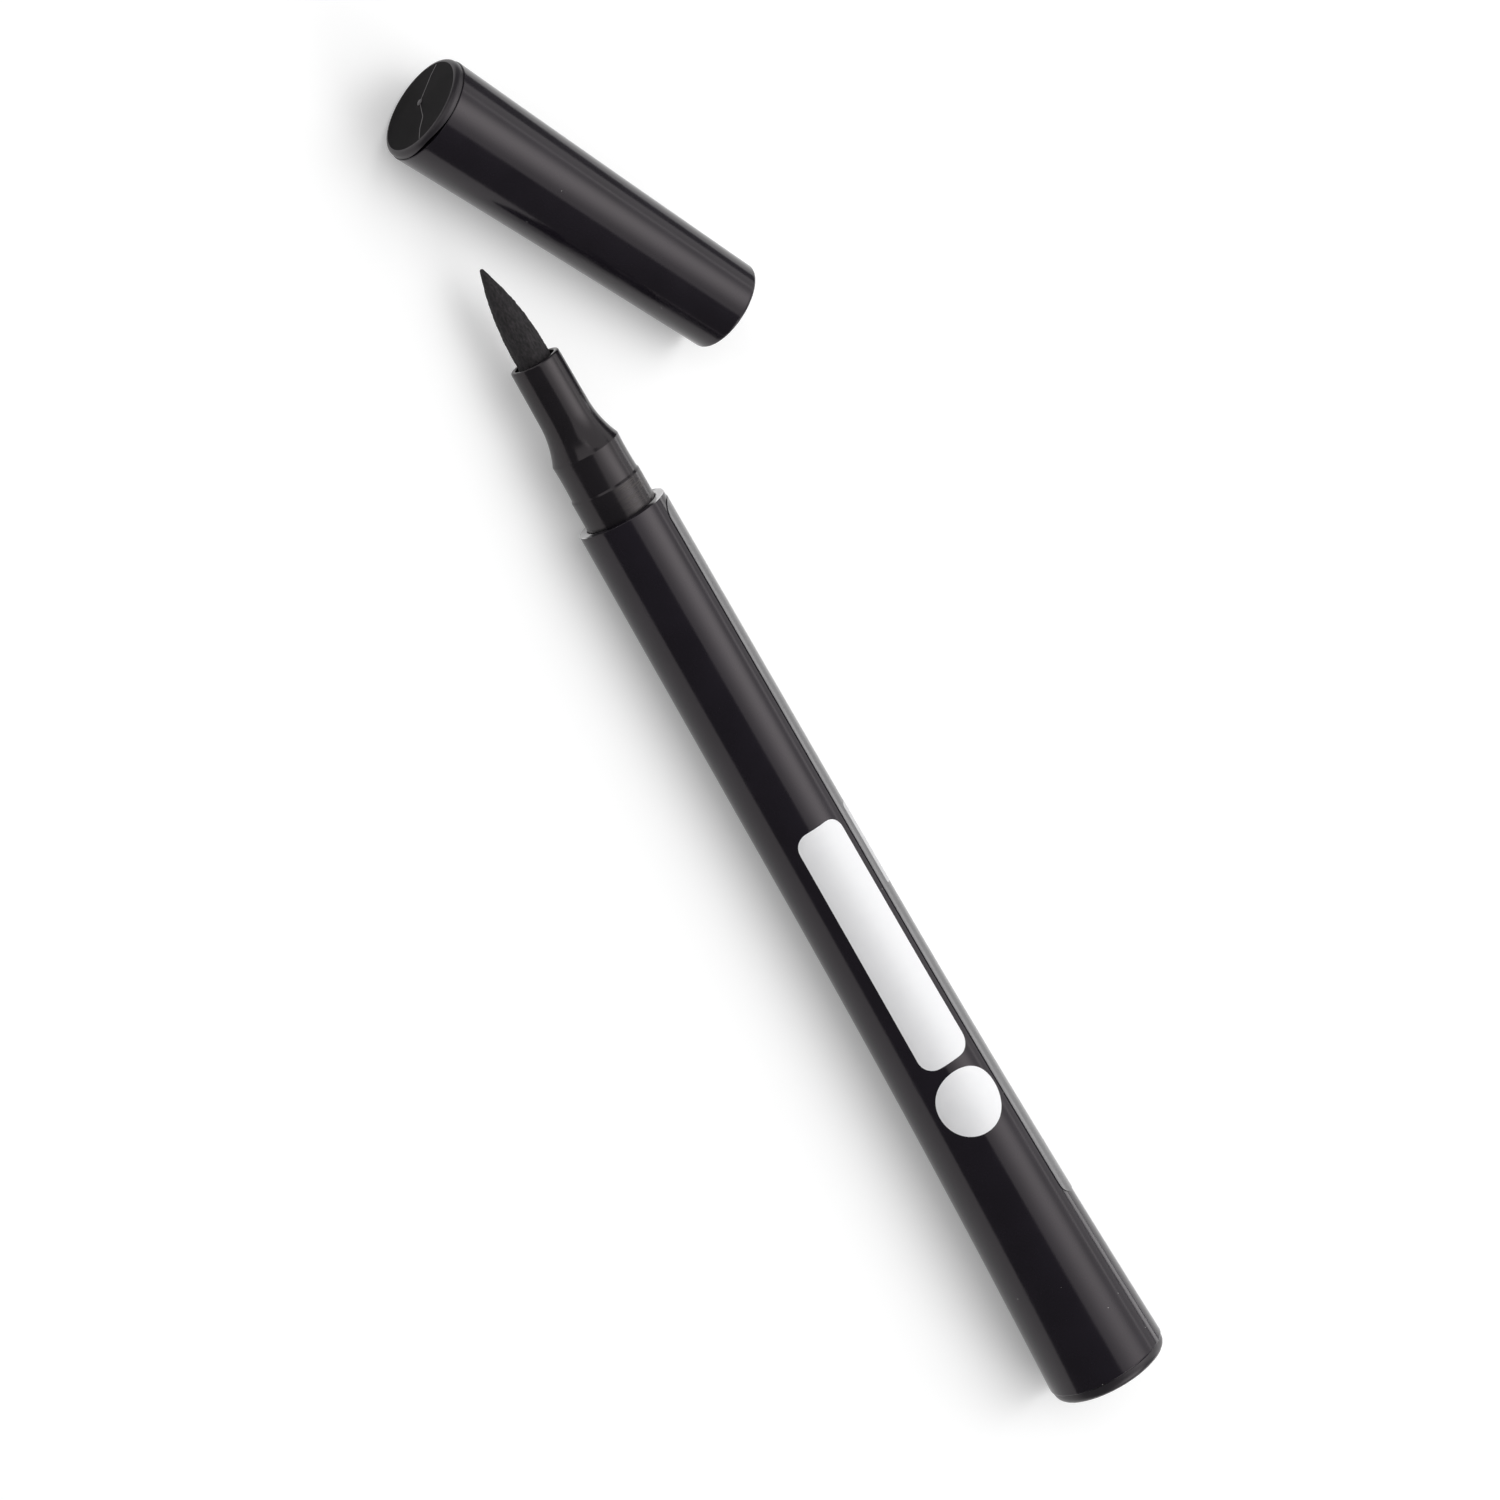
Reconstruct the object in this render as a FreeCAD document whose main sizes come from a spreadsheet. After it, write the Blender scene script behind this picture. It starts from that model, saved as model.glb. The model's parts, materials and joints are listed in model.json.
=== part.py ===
import FreeCAD, Part
import math
import os
from types import SimpleNamespace

import Sketcher

# A felt-tip liquid eyeliner pen lying on a table, with its cap taken off and laid beside it.
# Millimetres. +X runs along the pen to its tip, +Z is up and the table is the plane z = 0.
# The origin is on the table, under the middle of the pen and cap together.
# Each piece is turned about its own x axis. The pen's x starts at the flat of its tail plug,
# the cap's x starts at the flat of its end plug, and both run towards the open end.

# Driving dimensions. Lengths are in millimetres, names that end in angle are in degrees,
# names that end in share have no unit, and names that end in count are numbers of copies.
SIZES = {
    # fits that several pieces use
    "press_gap": 0.02,
    "rim_gap": 0.1,
    "seal_gap": 0.03,
    "mouth_gap": 0.12,
    # barrel: straight taper from the rim, then one long flare to the tail
    "front_radius": 4.33,
    "rim_wall": 0.77,
    "rim_rounding": 0.15,
    "taper_length": 40.0,
    "taper_rise": 0.245,
    "tail_flare": 1.545,
    "tail_rounding": 0.25,
    "collar_depth": 8.0,
    "ledge_width": 1.2,
    "ledge_height": 0.6,
    "chamber_step": 0.05,
    "chamber_length": 30.0,
    "seat_wall": 1.06,
    "seat_step": 0.1,
    "seat_length": 7.0,
    # tail plug
    "tail_flange_height": 1.2,
    "tail_flange_inset": 0.14,
    "tail_flange_rounding_share": 0.72,
    "flange_lip_share": 0.12,
    "tail_skirt_length": 6.0,
    "skirt_wall": 0.8,
    "skirt_lead": 0.3,
    "stem_length": 17.8,
    "stem_rib_thickness": 0.9,
    "stem_rib_count": 4,
    "stem_rib_inset": 0.25,
    # nib holder
    "band_length": 2.99,
    "band_sink": 1.2,
    "band_step": 0.11,
    "step_length": 0.2,
    "seal_length": 3.52,
    "seal_hollow_radius": 38.0,
    "shoulder_length": 0.3,
    "shoulder_drop": 0.14,
    "flare_length": 3.68,
    "flare_drop": 0.72,
    "neck_length": 5.4,
    "neck_draft": 0.06,
    "neck_wall": 0.5,
    "lip_rounding": 0.2,
    "bore_lip": 0.12,
    "collar_lead": 0.3,
    "back_bore_length": 9.0,
    "back_bore_wall": 0.85,
    "grip_rib_thickness": 0.5,
    "grip_rib_count": 4,
    "grip_rib_sink": 2.0,
    "grip_rib_length": 9.0,
    # felt nib
    "nib_radius": 1.6,
    "nib_show": 9.6,
    "nib_straight": 0.65,
    "nib_tip_rounding": 0.2,
    "nib_gap": 0.02,
    "nib_back_lead": 0.3,
    "nib_stem_depth": 3.0,
    "nib_socket_room": 0.2,
    # ink reservoir and its film wrap
    "reservoir_length": 66.0,
    "wrap_thickness": 0.1,
    "wrap_gap": 0.05,
    # cap shell: straight taper from the mouth, then one flare to the closed end
    "cap_mouth_rounding": 0.25,
    "cap_mouth_lead": 0.12,
    "cap_taper_length": 8.0,
    "cap_taper_rise": 0.144,
    "cap_flare": 0.77,
    "cap_edge_rounding": 0.2,
    "cap_bore_depth": 3.3,
    "end_seat_wall": 0.8,
    "end_seat_length": 3.0,
    # seal liner in the cap
    "seal_wall": 0.4,
    "liner_ring_length": 4.7,
    "liner_cone_length": 1.0,
    "well_wall": 0.6,
    "well_step": 0.37,
    "well_floor": 0.9,
    "well_dome": 0.5,
    "nib_room": 2.5,
    # cap end plug
    "end_flange_height": 0.8,
    "end_flange_inset": 0.1,
    "end_flange_rounding_share": 0.6,
    "end_skirt_length": 2.6,
    "pusher_length": 6.25,
    "pusher_radius": 2.6,
    "gate_radius": 0.35,
    "gate_depth": 0.12,
    # where the cap lies: its mouth from the barrel's rim, and the way its closed end points
    "cap_ahead": 9.88,
    "cap_aside": 20.07,
    "cap_heading_angle": 30.04,
}


class Size:
    """A number of the sheet, or a sum made of such numbers, with the expression that says so."""

    def __init__(self, value, text):
        self.value = value
        self.text = text

    def __add__(self, other):
        return Size(self.value + other.value, f"({self.text} + {other.text})")

    def __sub__(self, other):
        return Size(self.value - other.value, f"({self.text} - {other.text})")

    def __mul__(self, other):
        return Size(self.value * other.value, f"({self.text} * {other.text})")

    def __truediv__(self, other):
        return Size(self.value / other.value, f"({self.text} / {other.text})")


ZERO = Size(0.0, "0")
FULL_TURN = 360
HALF_TURN = 180

doc = FreeCAD.newDocument("EyelinerPen")


def write_sheet():
    """Keeps the driving dimensions in a sheet, one alias each, and gives them back by name."""
    sheet = doc.addObject("Spreadsheet::Sheet", "Sizes")
    for row, (name, value) in enumerate(SIZES.items(), start=1):
        sheet.set(f"A{row}", name)
        sheet.set(f"B{row}", str(value))
        sheet.setAlias(f"B{row}", name)
    doc.recompute()
    named = {name: Size(sheet.get(name), f"Sizes.{name}") for name in SIZES}
    return SimpleNamespace(**named)


# Outlines. A corner is a point (x, radius) and the bend of the edge that leads to it.
# Every outline runs along the outside from the open end back, then along the inside to the front,
# so that the material is always on the left of an edge.

STRAIGHT = "straight"
FOLLOWS = "follows"
LEADS_ON = "leads on"
CONVEX = "convex"
CONCAVE = "concave"


def corner(x, radius, bend=STRAIGHT, bend_radius=None):
    """A corner of an outline. FOLLOWS is an arc tangent to the edge before it, LEADS_ON to the next."""
    return SimpleNamespace(x=x, radius=radius, bend=bend, bend_radius=bend_radius)


def point(at):
    return FreeCAD.Vector(at.x.value, at.radius.value, 0)


def arc_middle(start, end, bend, bend_radius, tangent):
    """The middle point of an arc, from its radius or from the direction of the edge it is tangent to."""
    chord = end - start
    middle = (start + end) / 2
    left = FreeCAD.Vector(-chord.y, chord.x, 0).normalize()
    if bend in (CONVEX, CONCAVE):
        rise = bend_radius - math.sqrt(max(bend_radius ** 2 - (chord.Length / 2) ** 2, 0))
        return middle + left * (rise if bend == CONCAVE else -rise)
    turn = math.atan2(tangent.dot(left), tangent.dot(chord) / chord.Length)
    rise = chord.Length / 2 * math.tan(turn / 2)
    return middle + left * (rise if bend == FOLLOWS else -rise)


def draw_outline(sketch, corners):
    """Draws a closed outline and ties each corner and each bend to the sheet."""
    count = len(corners)
    edges = []
    for index, end in enumerate(corners):
        start_point = point(corners[index - 1])
        end_point = point(end)
        if end.bend == STRAIGHT:
            edges.append(sketch.addGeometry(Part.LineSegment(start_point, end_point), False))
            continue
        before = start_point - point(corners[index - 2])
        after = point(corners[(index + 1) % count]) - end_point
        tangent = before if end.bend == FOLLOWS else after
        radius = end.bend_radius.value if end.bend_radius else None
        middle = arc_middle(start_point, end_point, end.bend, radius, tangent)
        edges.append(sketch.addGeometry(Part.Arc(start_point, middle, end_point), False))

    def ends(index):
        first = sketch.getPoint(edges[index], 1)
        from_start = first.distanceToPoint(point(corners[index - 1]))
        from_end = first.distanceToPoint(point(corners[index]))
        return (1, 2) if from_start < from_end else (2, 1)

    def tie(kind, edge, end, size):
        number = sketch.addConstraint(Sketcher.Constraint(kind, -1, 1, edge, end, size.value))
        sketch.setExpression(f"Constraints[{number}]", size.text)

    places = [ends(index) for index in range(count)]
    for index, here in enumerate(corners):
        following = (index + 1) % count
        joint = (edges[index], places[index][1], edges[following], places[following][0])
        smooth = here.bend == LEADS_ON or corners[following].bend == FOLLOWS
        sketch.addConstraint(Sketcher.Constraint("Tangent" if smooth else "Coincident", *joint))
        for kind, size, axis in (("DistanceX", here.x, -2), ("DistanceY", here.radius, -1)):
            if size is ZERO:
                sketch.addConstraint(Sketcher.Constraint("PointOnObject", joint[0], joint[1], axis))
            else:
                tie(kind, joint[0], joint[1], size)
        if here.bend_radius:
            radius = Sketcher.Constraint("Radius", edges[index], here.bend_radius.value)
            number = sketch.addConstraint(radius)
            sketch.setExpression(f"Constraints[{number}]", here.bend_radius.text)


def outline_sketch(body, name, corners):
    """A sketch of one closed outline on the body's own upright plane through its axis."""
    sketch = body.newObject("Sketcher::SketchObject", name)
    plane = next(each for each in body.Origin.OriginFeatures if each.Role == "XZ_Plane")
    sketch.AttachmentSupport = [(plane, "")]
    sketch.MapMode = "FlatFace"
    draw_outline(sketch, corners)
    return sketch


def turned(label, corners):
    """A body turned all the way round about its x axis."""
    body = doc.addObject("PartDesign::Body", label)
    body.Label = label
    sketch = outline_sketch(body, f"{label}_outline", corners)
    turn = body.newObject("PartDesign::Revolution", f"{label}_turn")
    turn.Profile = sketch
    turn.ReferenceAxis = (sketch, ["H_Axis"])
    turn.Angle = FULL_TURN
    doc.recompute()
    return body


def add_ribs(body, name, corners, thickness, count):
    """Flat ribs through the axis, spaced evenly round it."""
    sketch = outline_sketch(body, f"{name}_outline", corners)
    rib = body.newObject("PartDesign::Pad", name)
    rib.Profile = sketch
    rib.SideType = "Symmetric"
    rib.setExpression("Length", thickness.text)
    doc.recompute()
    pattern = body.newObject("PartDesign::PolarPattern", f"{name}_round")
    pattern.Originals = [rib]
    pattern.Axis = (sketch, ["H_Axis"])
    pattern.Angle = FULL_TURN
    pattern.setExpression("Occurrences", count.text)
    body.Tip = pattern
    doc.recompute()


def box_outline(back, front, inner, outer):
    """The four corners of a plain rectangle between two places and two radii."""
    return [corner(front, outer), corner(back, outer), corner(back, inner), corner(front, inner)]


size = write_sheet()

# Places along the pen, from the flat of the tail plug
seam_x = size.tail_flange_height
barrel_length = size.collar_depth + size.ledge_width + size.reservoir_length + size.stem_length
rim_x = seam_x + barrel_length
ledge_front_x = rim_x - size.collar_depth
ledge_back_x = ledge_front_x - size.ledge_width
reservoir_back_x = ledge_back_x - size.reservoir_length
taper_back_x = rim_x - size.taper_length
band_front_x = rim_x + size.band_length
seal_back_x = band_front_x + size.step_length
seal_front_x = seal_back_x + size.seal_length
shoulder_x = seal_front_x + size.shoulder_length
neck_back_x = shoulder_x + size.flare_length
holder_mouth_x = neck_back_x + size.neck_length
nib_tip_x = holder_mouth_x + size.nib_show
nib_reach = nib_tip_x - rim_x

# Radii of the pen
taper_radius = size.front_radius + size.taper_rise
tail_radius = size.front_radius + size.tail_flare
collar_bore_radius = size.front_radius - size.rim_wall
ledge_radius = collar_bore_radius - size.ledge_height
chamber_radius = collar_bore_radius - size.chamber_step
seat_radius = tail_radius - size.seat_wall
band_radius = collar_bore_radius - size.rim_gap
seal_radius = band_radius - size.band_step
shoulder_radius = seal_radius - size.shoulder_drop
neck_radius = shoulder_radius - size.flare_drop
wrap_radius = chamber_radius - size.wrap_gap
reservoir_radius = wrap_radius - size.wrap_thickness - size.press_gap

# Places along the cap, from the flat of its end plug, and its radii
cap_seam_x = size.end_flange_height
cap_length = nib_reach + size.nib_room + size.well_floor + size.pusher_length
cap_mouth_x = cap_seam_x + cap_length
pocket_front_x = cap_mouth_x - size.cap_bore_depth
well_end_x = cap_seam_x + size.pusher_length
cap_taper_radius = size.front_radius + size.cap_taper_rise
cap_end_radius = size.front_radius + size.cap_flare
cap_bore_radius = band_radius + size.mouth_gap
seal_bore_radius = seal_radius + size.seal_gap
liner_radius = seal_bore_radius + size.seal_wall
pocket_radius = liner_radius + size.press_gap
end_seat_radius = cap_end_radius - size.end_seat_wall


def make_barrel():
    """The waisted tube: a bore for the holder's collar, a ledge that stops it, and a seat for the plug."""
    chamber_back_x = ledge_back_x - size.chamber_length
    seat_front_x = seam_x + size.seat_length
    return turned("barrel", [
        corner(rim_x, size.front_radius - size.rim_rounding),
        corner(rim_x - size.rim_rounding, size.front_radius, CONVEX, size.rim_rounding),
        corner(taper_back_x, taper_radius),
        corner(seam_x + size.tail_rounding, tail_radius, FOLLOWS),
        corner(seam_x, tail_radius - size.tail_rounding, CONVEX, size.tail_rounding),
        corner(seam_x, seat_radius),
        corner(seat_front_x, seat_radius),
        corner(seat_front_x, seat_radius - size.seat_step),
        corner(chamber_back_x, chamber_radius),
        corner(ledge_back_x, chamber_radius),
        corner(ledge_back_x, ledge_radius),
        corner(ledge_front_x, ledge_radius),
        corner(ledge_front_x, collar_bore_radius),
        corner(rim_x, collar_bore_radius),
    ])


def flange_corners(seam, radius, rounding):
    """The rounded flange of a plug, from its seam to the edge of its flat."""
    lip = seam * size.flange_lip_share
    return [
        corner(seam, radius - lip),
        corner(seam - lip, radius, CONVEX, lip),
        corner(rounding, radius),
        corner(ZERO, radius - rounding, CONVEX, rounding),
    ]


def make_tail_plug():
    """The plug of the barrel: a rounded flange, a skirt in the barrel's seat and a cross-shaped stem."""
    skirt_front_x = seam_x + size.tail_skirt_length
    skirt_radius = seat_radius - size.press_gap
    skirt_inner_radius = skirt_radius - size.skirt_wall
    rounding = size.tail_flange_height * size.tail_flange_rounding_share
    body = turned("tail_plug", [
        corner(skirt_front_x, skirt_radius - size.skirt_lead),
        corner(skirt_front_x - size.skirt_lead, skirt_radius),
        corner(seam_x, skirt_radius),
        *flange_corners(seam_x, tail_radius - size.tail_flange_inset, rounding),
        corner(ZERO, ZERO),
        corner(seam_x, ZERO),
        corner(seam_x, skirt_inner_radius),
        corner(skirt_front_x, skirt_inner_radius),
    ])
    rib_radius = reservoir_radius - size.stem_rib_inset
    rib = box_outline(rounding, reservoir_back_x, ZERO, rib_radius)
    add_ribs(body, "stem_rib", rib, size.stem_rib_thickness, size.stem_rib_count)
    return body


def make_nib_holder():
    """The front section: a collar in the barrel, two bands for the cap, a concave flare and a neck."""
    mouth_radius = neck_radius - size.neck_draft
    bore_radius = neck_radius - size.neck_wall
    collar_radius = collar_bore_radius - size.press_gap
    back_bore_radius = band_radius - size.back_bore_wall
    band_back_x = rim_x - size.band_sink
    back_bore_front_x = ledge_front_x + size.back_bore_length
    body = turned("nib_holder", [
        corner(holder_mouth_x, mouth_radius - size.lip_rounding),
        corner(holder_mouth_x - size.lip_rounding, mouth_radius, CONVEX, size.lip_rounding),
        corner(neck_back_x, neck_radius),
        corner(shoulder_x, shoulder_radius, FOLLOWS),
        corner(seal_front_x, seal_radius),
        corner(seal_back_x, seal_radius, CONCAVE, size.seal_hollow_radius),
        corner(band_front_x, band_radius),
        corner(band_back_x, band_radius),
        corner(band_back_x, collar_radius),
        corner(ledge_front_x + size.collar_lead, collar_radius),
        corner(ledge_front_x, collar_radius - size.collar_lead),
        corner(ledge_front_x, back_bore_radius),
        corner(back_bore_front_x, back_bore_radius),
        corner(back_bore_front_x + back_bore_radius - bore_radius, bore_radius),
        corner(holder_mouth_x - size.bore_lip, bore_radius),
        corner(holder_mouth_x, bore_radius + size.bore_lip, CONVEX, size.bore_lip),
    ])
    rib_front_x = holder_mouth_x - size.grip_rib_sink
    rib_back_x = rib_front_x - size.grip_rib_length
    rib_root_radius = bore_radius + size.bore_lip
    rib = box_outline(rib_back_x, rib_front_x, size.nib_radius + size.nib_gap, rib_root_radius)
    add_ribs(body, "grip_rib", rib, size.grip_rib_thickness, size.grip_rib_count)
    return body


def make_felt_nib():
    """The fibre nib: a pointed ogive, a straight shank and a stem in the reservoir."""
    ogive_back_x = holder_mouth_x + size.nib_straight
    back_x = ledge_back_x - size.nib_stem_depth
    rounding = size.nib_tip_rounding
    return turned("felt_nib", [
        corner(nib_tip_x, ZERO),
        corner(nib_tip_x - rounding, rounding, CONVEX, rounding),
        corner(ogive_back_x, size.nib_radius, LEADS_ON),
        corner(back_x + size.nib_back_lead, size.nib_radius),
        corner(back_x, size.nib_radius - size.nib_back_lead),
        corner(back_x, ZERO),
    ])


def make_ink_reservoir():
    """The fibre bundle that holds the ink, with a socket for the nib's stem."""
    socket_back_x = ledge_back_x - size.nib_stem_depth - size.nib_socket_room
    socket_radius = size.nib_radius + size.nib_gap
    return turned("ink_reservoir", [
        corner(ledge_back_x, reservoir_radius),
        corner(reservoir_back_x, reservoir_radius),
        corner(reservoir_back_x, ZERO),
        corner(socket_back_x, ZERO),
        corner(socket_back_x, socket_radius),
        corner(ledge_back_x, socket_radius),
    ])


def make_reservoir_wrap():
    """The film sleeve round the fibre bundle, open at both ends."""
    inner_radius = wrap_radius - size.wrap_thickness
    return turned("reservoir_wrap", box_outline(reservoir_back_x, ledge_back_x, inner_radius, wrap_radius))


def make_cap_shell():
    """The cap's tube: a bore for the lower band, a pocket for the liner and a seat for the plug."""
    seat_front_x = cap_seam_x + size.end_seat_length
    return turned("cap_shell", [
        corner(cap_mouth_x, size.front_radius - size.cap_mouth_rounding),
        corner(cap_mouth_x - size.cap_mouth_rounding, size.front_radius, CONVEX, size.cap_mouth_rounding),
        corner(cap_mouth_x - size.cap_taper_length, cap_taper_radius),
        corner(cap_seam_x + size.cap_edge_rounding, cap_end_radius, FOLLOWS),
        corner(cap_seam_x, cap_end_radius - size.cap_edge_rounding, CONVEX, size.cap_edge_rounding),
        corner(cap_seam_x, end_seat_radius),
        corner(seat_front_x, end_seat_radius),
        corner(seat_front_x, pocket_radius),
        corner(pocket_front_x, pocket_radius),
        corner(pocket_front_x, cap_bore_radius),
        corner(cap_mouth_x - size.cap_mouth_lead, cap_bore_radius),
        corner(cap_mouth_x, cap_bore_radius + size.cap_mouth_lead),
    ])


def make_inner_cap():
    """The liner: a seal ring that closes on the holder's upper band, and a closed well for the nib."""
    well_radius = seal_bore_radius - size.well_step
    well_outer_radius = well_radius + size.well_wall
    well_bottom_x = well_end_x + size.well_floor
    ring_back_x = pocket_front_x - size.liner_ring_length
    seal_end_x = ring_back_x + size.liner_cone_length
    return turned("inner_cap", [
        corner(pocket_front_x, liner_radius),
        corner(ring_back_x, liner_radius),
        corner(ring_back_x - size.liner_cone_length, well_outer_radius),
        corner(well_end_x + size.well_dome, well_outer_radius),
        corner(well_end_x, well_outer_radius - size.well_dome, CONVEX, size.well_dome),
        corner(well_end_x, ZERO),
        corner(well_bottom_x, ZERO),
        corner(well_bottom_x, well_radius),
        corner(ring_back_x, well_radius),
        corner(seal_end_x, seal_bore_radius),
        corner(pocket_front_x, seal_bore_radius),
    ])


def make_cap_end_plug():
    """The disc that closes the cap: a rounded flange with a gate mark, a skirt and a ring on the liner."""
    skirt_front_x = cap_seam_x + size.end_skirt_length
    skirt_radius = end_seat_radius - size.press_gap
    skirt_inner_radius = skirt_radius - size.skirt_wall
    pusher_inner_radius = size.pusher_radius - size.skirt_wall
    rounding = size.end_flange_height * size.end_flange_rounding_share
    return turned("cap_end_plug", [
        corner(skirt_front_x, skirt_radius - size.skirt_lead),
        corner(skirt_front_x - size.skirt_lead, skirt_radius),
        corner(cap_seam_x, skirt_radius),
        *flange_corners(cap_seam_x, cap_end_radius - size.end_flange_inset, rounding),
        corner(ZERO, size.gate_radius),
        corner(size.gate_depth, size.gate_radius),
        corner(size.gate_depth, ZERO),
        corner(cap_seam_x, ZERO),
        corner(cap_seam_x, pusher_inner_radius),
        corner(well_end_x, pusher_inner_radius),
        corner(well_end_x, size.pusher_radius),
        corner(cap_seam_x, size.pusher_radius),
        corner(cap_seam_x, skirt_inner_radius),
        corner(skirt_front_x, skirt_inner_radius),
    ])


# Laying the two groups on the table

X_AXIS = FreeCAD.Vector(1, 0, 0)
Y_AXIS = FreeCAD.Vector(0, 1, 0)
Z_AXIS = FreeCAD.Vector(0, 0, 1)


def lowest_and_highest(bodies):
    """The corners of the box round some bodies."""
    boxes = [body.Shape.optimalBoundingBox(False, False) for body in bodies]
    low = FreeCAD.Vector(*[min(getattr(box, side) for box in boxes) for side in ("XMin", "YMin", "ZMin")])
    high = FreeCAD.Vector(*[max(getattr(box, side) for box in boxes) for side in ("XMax", "YMax", "ZMax")])
    return low, high


def resting_tilt(front_x, front_radius, back_x, back_radius):
    """The angle that a flared piece lies at, on one circle near its front and one near its back."""
    return math.degrees(math.atan2((back_radius - front_radius).value, (front_x - back_x).value))


def lay(bodies, tilt, heading, front_x, front_spot):
    """Lays bodies on the table, tilted and turned, with the middle of their front over a spot."""
    rotation = FreeCAD.Rotation(Z_AXIS, heading) * FreeCAD.Rotation(Y_AXIS, tilt)
    base = front_spot - rotation.multVec(X_AXIS * front_x.value)
    for body in bodies:
        body.Placement = FreeCAD.Placement(base, rotation)
    doc.recompute()
    low, high = lowest_and_highest(bodies)
    shift(bodies, FreeCAD.Vector(0, 0, -low.z))


def shift(bodies, way):
    """Moves bodies without turning them."""
    for body in bodies:
        body.Placement = FreeCAD.Placement(body.Placement.Base + way, body.Placement.Rotation)
    doc.recompute()


pen = [
    make_barrel(), make_tail_plug(), make_nib_holder(), make_felt_nib(), make_ink_reservoir(),
    make_reservoir_wrap(),
]
cap = [make_cap_shell(), make_inner_cap(), make_cap_end_plug()]

pen_tilt = resting_tilt(rim_x - size.rim_rounding, size.front_radius,
                        seam_x + size.tail_rounding, tail_radius)
cap_tilt = resting_tilt(cap_mouth_x - size.cap_mouth_rounding, size.front_radius,
                        cap_seam_x + size.cap_edge_rounding, cap_end_radius)
lay(pen, pen_tilt, 0, rim_x, FreeCAD.Vector())
lay(cap, cap_tilt, size.cap_heading_angle.value + HALF_TURN, cap_mouth_x,
    FreeCAD.Vector(size.cap_ahead.value, -size.cap_aside.value, 0))
pieces = pen + cap
all_low, all_high = lowest_and_highest(pieces)
shift(pieces, FreeCAD.Vector(-(all_low.x + all_high.x) / 2, -(all_low.y + all_high.y) / 2, 0))

for each in doc.Objects:
    if "Invalid" in each.State or "Error" in each.State:
        raise RuntimeError(f"{each.Name} failed: {each.State}")
for piece in pieces:
    if piece.Shape.isNull() or not piece.Shape.isValid():
        raise RuntimeError(f"{piece.Label} has no valid shape")

os.makedirs("parts", exist_ok=True)
for piece in pieces:
    piece.Shape.exportStep(f"parts/{piece.Label}.step")
    print(piece.Label, round(piece.Shape.Volume, 2), "mm3", len(piece.Shape.Solids), "solid")
print("pen tilt", round(pen_tilt, 3), "cap tilt", round(cap_tilt, 3))
print("barrel length", round(barrel_length.value, 2), "cap length", round(cap_length.value, 2))
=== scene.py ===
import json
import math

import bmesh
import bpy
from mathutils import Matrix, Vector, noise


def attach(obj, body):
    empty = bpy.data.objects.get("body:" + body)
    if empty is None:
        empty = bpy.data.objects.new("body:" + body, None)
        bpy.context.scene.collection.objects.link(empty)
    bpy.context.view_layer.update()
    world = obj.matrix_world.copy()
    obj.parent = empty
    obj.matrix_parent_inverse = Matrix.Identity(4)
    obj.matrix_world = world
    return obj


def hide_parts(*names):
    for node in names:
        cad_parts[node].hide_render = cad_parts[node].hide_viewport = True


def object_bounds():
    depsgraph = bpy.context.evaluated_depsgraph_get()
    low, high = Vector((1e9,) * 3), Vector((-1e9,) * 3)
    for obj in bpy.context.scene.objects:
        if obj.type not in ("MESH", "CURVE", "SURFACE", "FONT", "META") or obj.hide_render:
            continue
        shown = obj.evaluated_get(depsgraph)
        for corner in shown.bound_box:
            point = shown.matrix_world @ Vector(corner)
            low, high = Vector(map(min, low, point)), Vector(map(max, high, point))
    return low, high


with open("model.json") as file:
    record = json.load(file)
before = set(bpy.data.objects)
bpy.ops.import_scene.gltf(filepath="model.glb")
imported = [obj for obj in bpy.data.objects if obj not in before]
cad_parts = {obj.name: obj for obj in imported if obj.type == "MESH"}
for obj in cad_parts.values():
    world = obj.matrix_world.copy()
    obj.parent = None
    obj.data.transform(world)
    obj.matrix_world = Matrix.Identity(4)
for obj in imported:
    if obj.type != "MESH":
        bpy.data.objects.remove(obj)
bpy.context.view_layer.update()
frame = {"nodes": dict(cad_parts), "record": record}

# %% [markdown]
# # A felt-tip eyeliner pen with its cap off
#
# The object is a slim, waisted pen of gloss black plastic. It lies on a table with its felt nib bare,
# and its cap lies beside it. The imported solids have every wall in its place, but a few dozen flat facets
# go round each one, and a gloss finish shows facets. So each piece that can be seen is spun again here,
# finely, on the solids' own axis and sizes, and the thin things that are no solids, the label and the
# print, are laid on top.

MM = 0.001

# %% [markdown]
# ## Where the pen and the cap lie
#
# Both are round, so each one only needs an axis. The record's mounts hold it: the flat of the pen's tail
# looks straight back, and the bore of the cap's mouth looks straight out. A place is a matrix that takes
# "so far along the axis" to the table. Its z leans as little as it can from straight up, so that an angle
# round the pen can be counted from the top.

# %% The two places
mounts = {mount["name"]: mount for mount in frame["record"]["mounts"]}


def place_along(start, along):
    """A matrix with its x along an axis and its z as upright as it can be."""
    along = along.normalized()
    aside = Vector((0, 0, 1)).cross(along).normalized()
    turned = Matrix((along, aside, along.cross(aside))).transposed().to_4x4()
    return Matrix.Translation(start) @ turned


pen_place = place_along(Vector(mounts["tail_face"]["pos_m"]), -Vector(mounts["tail_face"]["axis"]))
mouth_spot = Vector(mounts["cap_mouth"]["pos_m"])
mouth_way = Vector(mounts["cap_mouth"]["axis"])
end_spot = Vector(mounts["cap_end_face"]["pos_m"])
cap_start = mouth_spot + mouth_way * (end_spot - mouth_spot).dot(mouth_way)
cap_place = place_along(cap_start, mouth_way)
print("pen starts at", [round(value / MM, 2) for value in pen_place.translation], "mm")
print("cap starts at", [round(value / MM, 2) for value in cap_place.translation], "mm")

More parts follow.
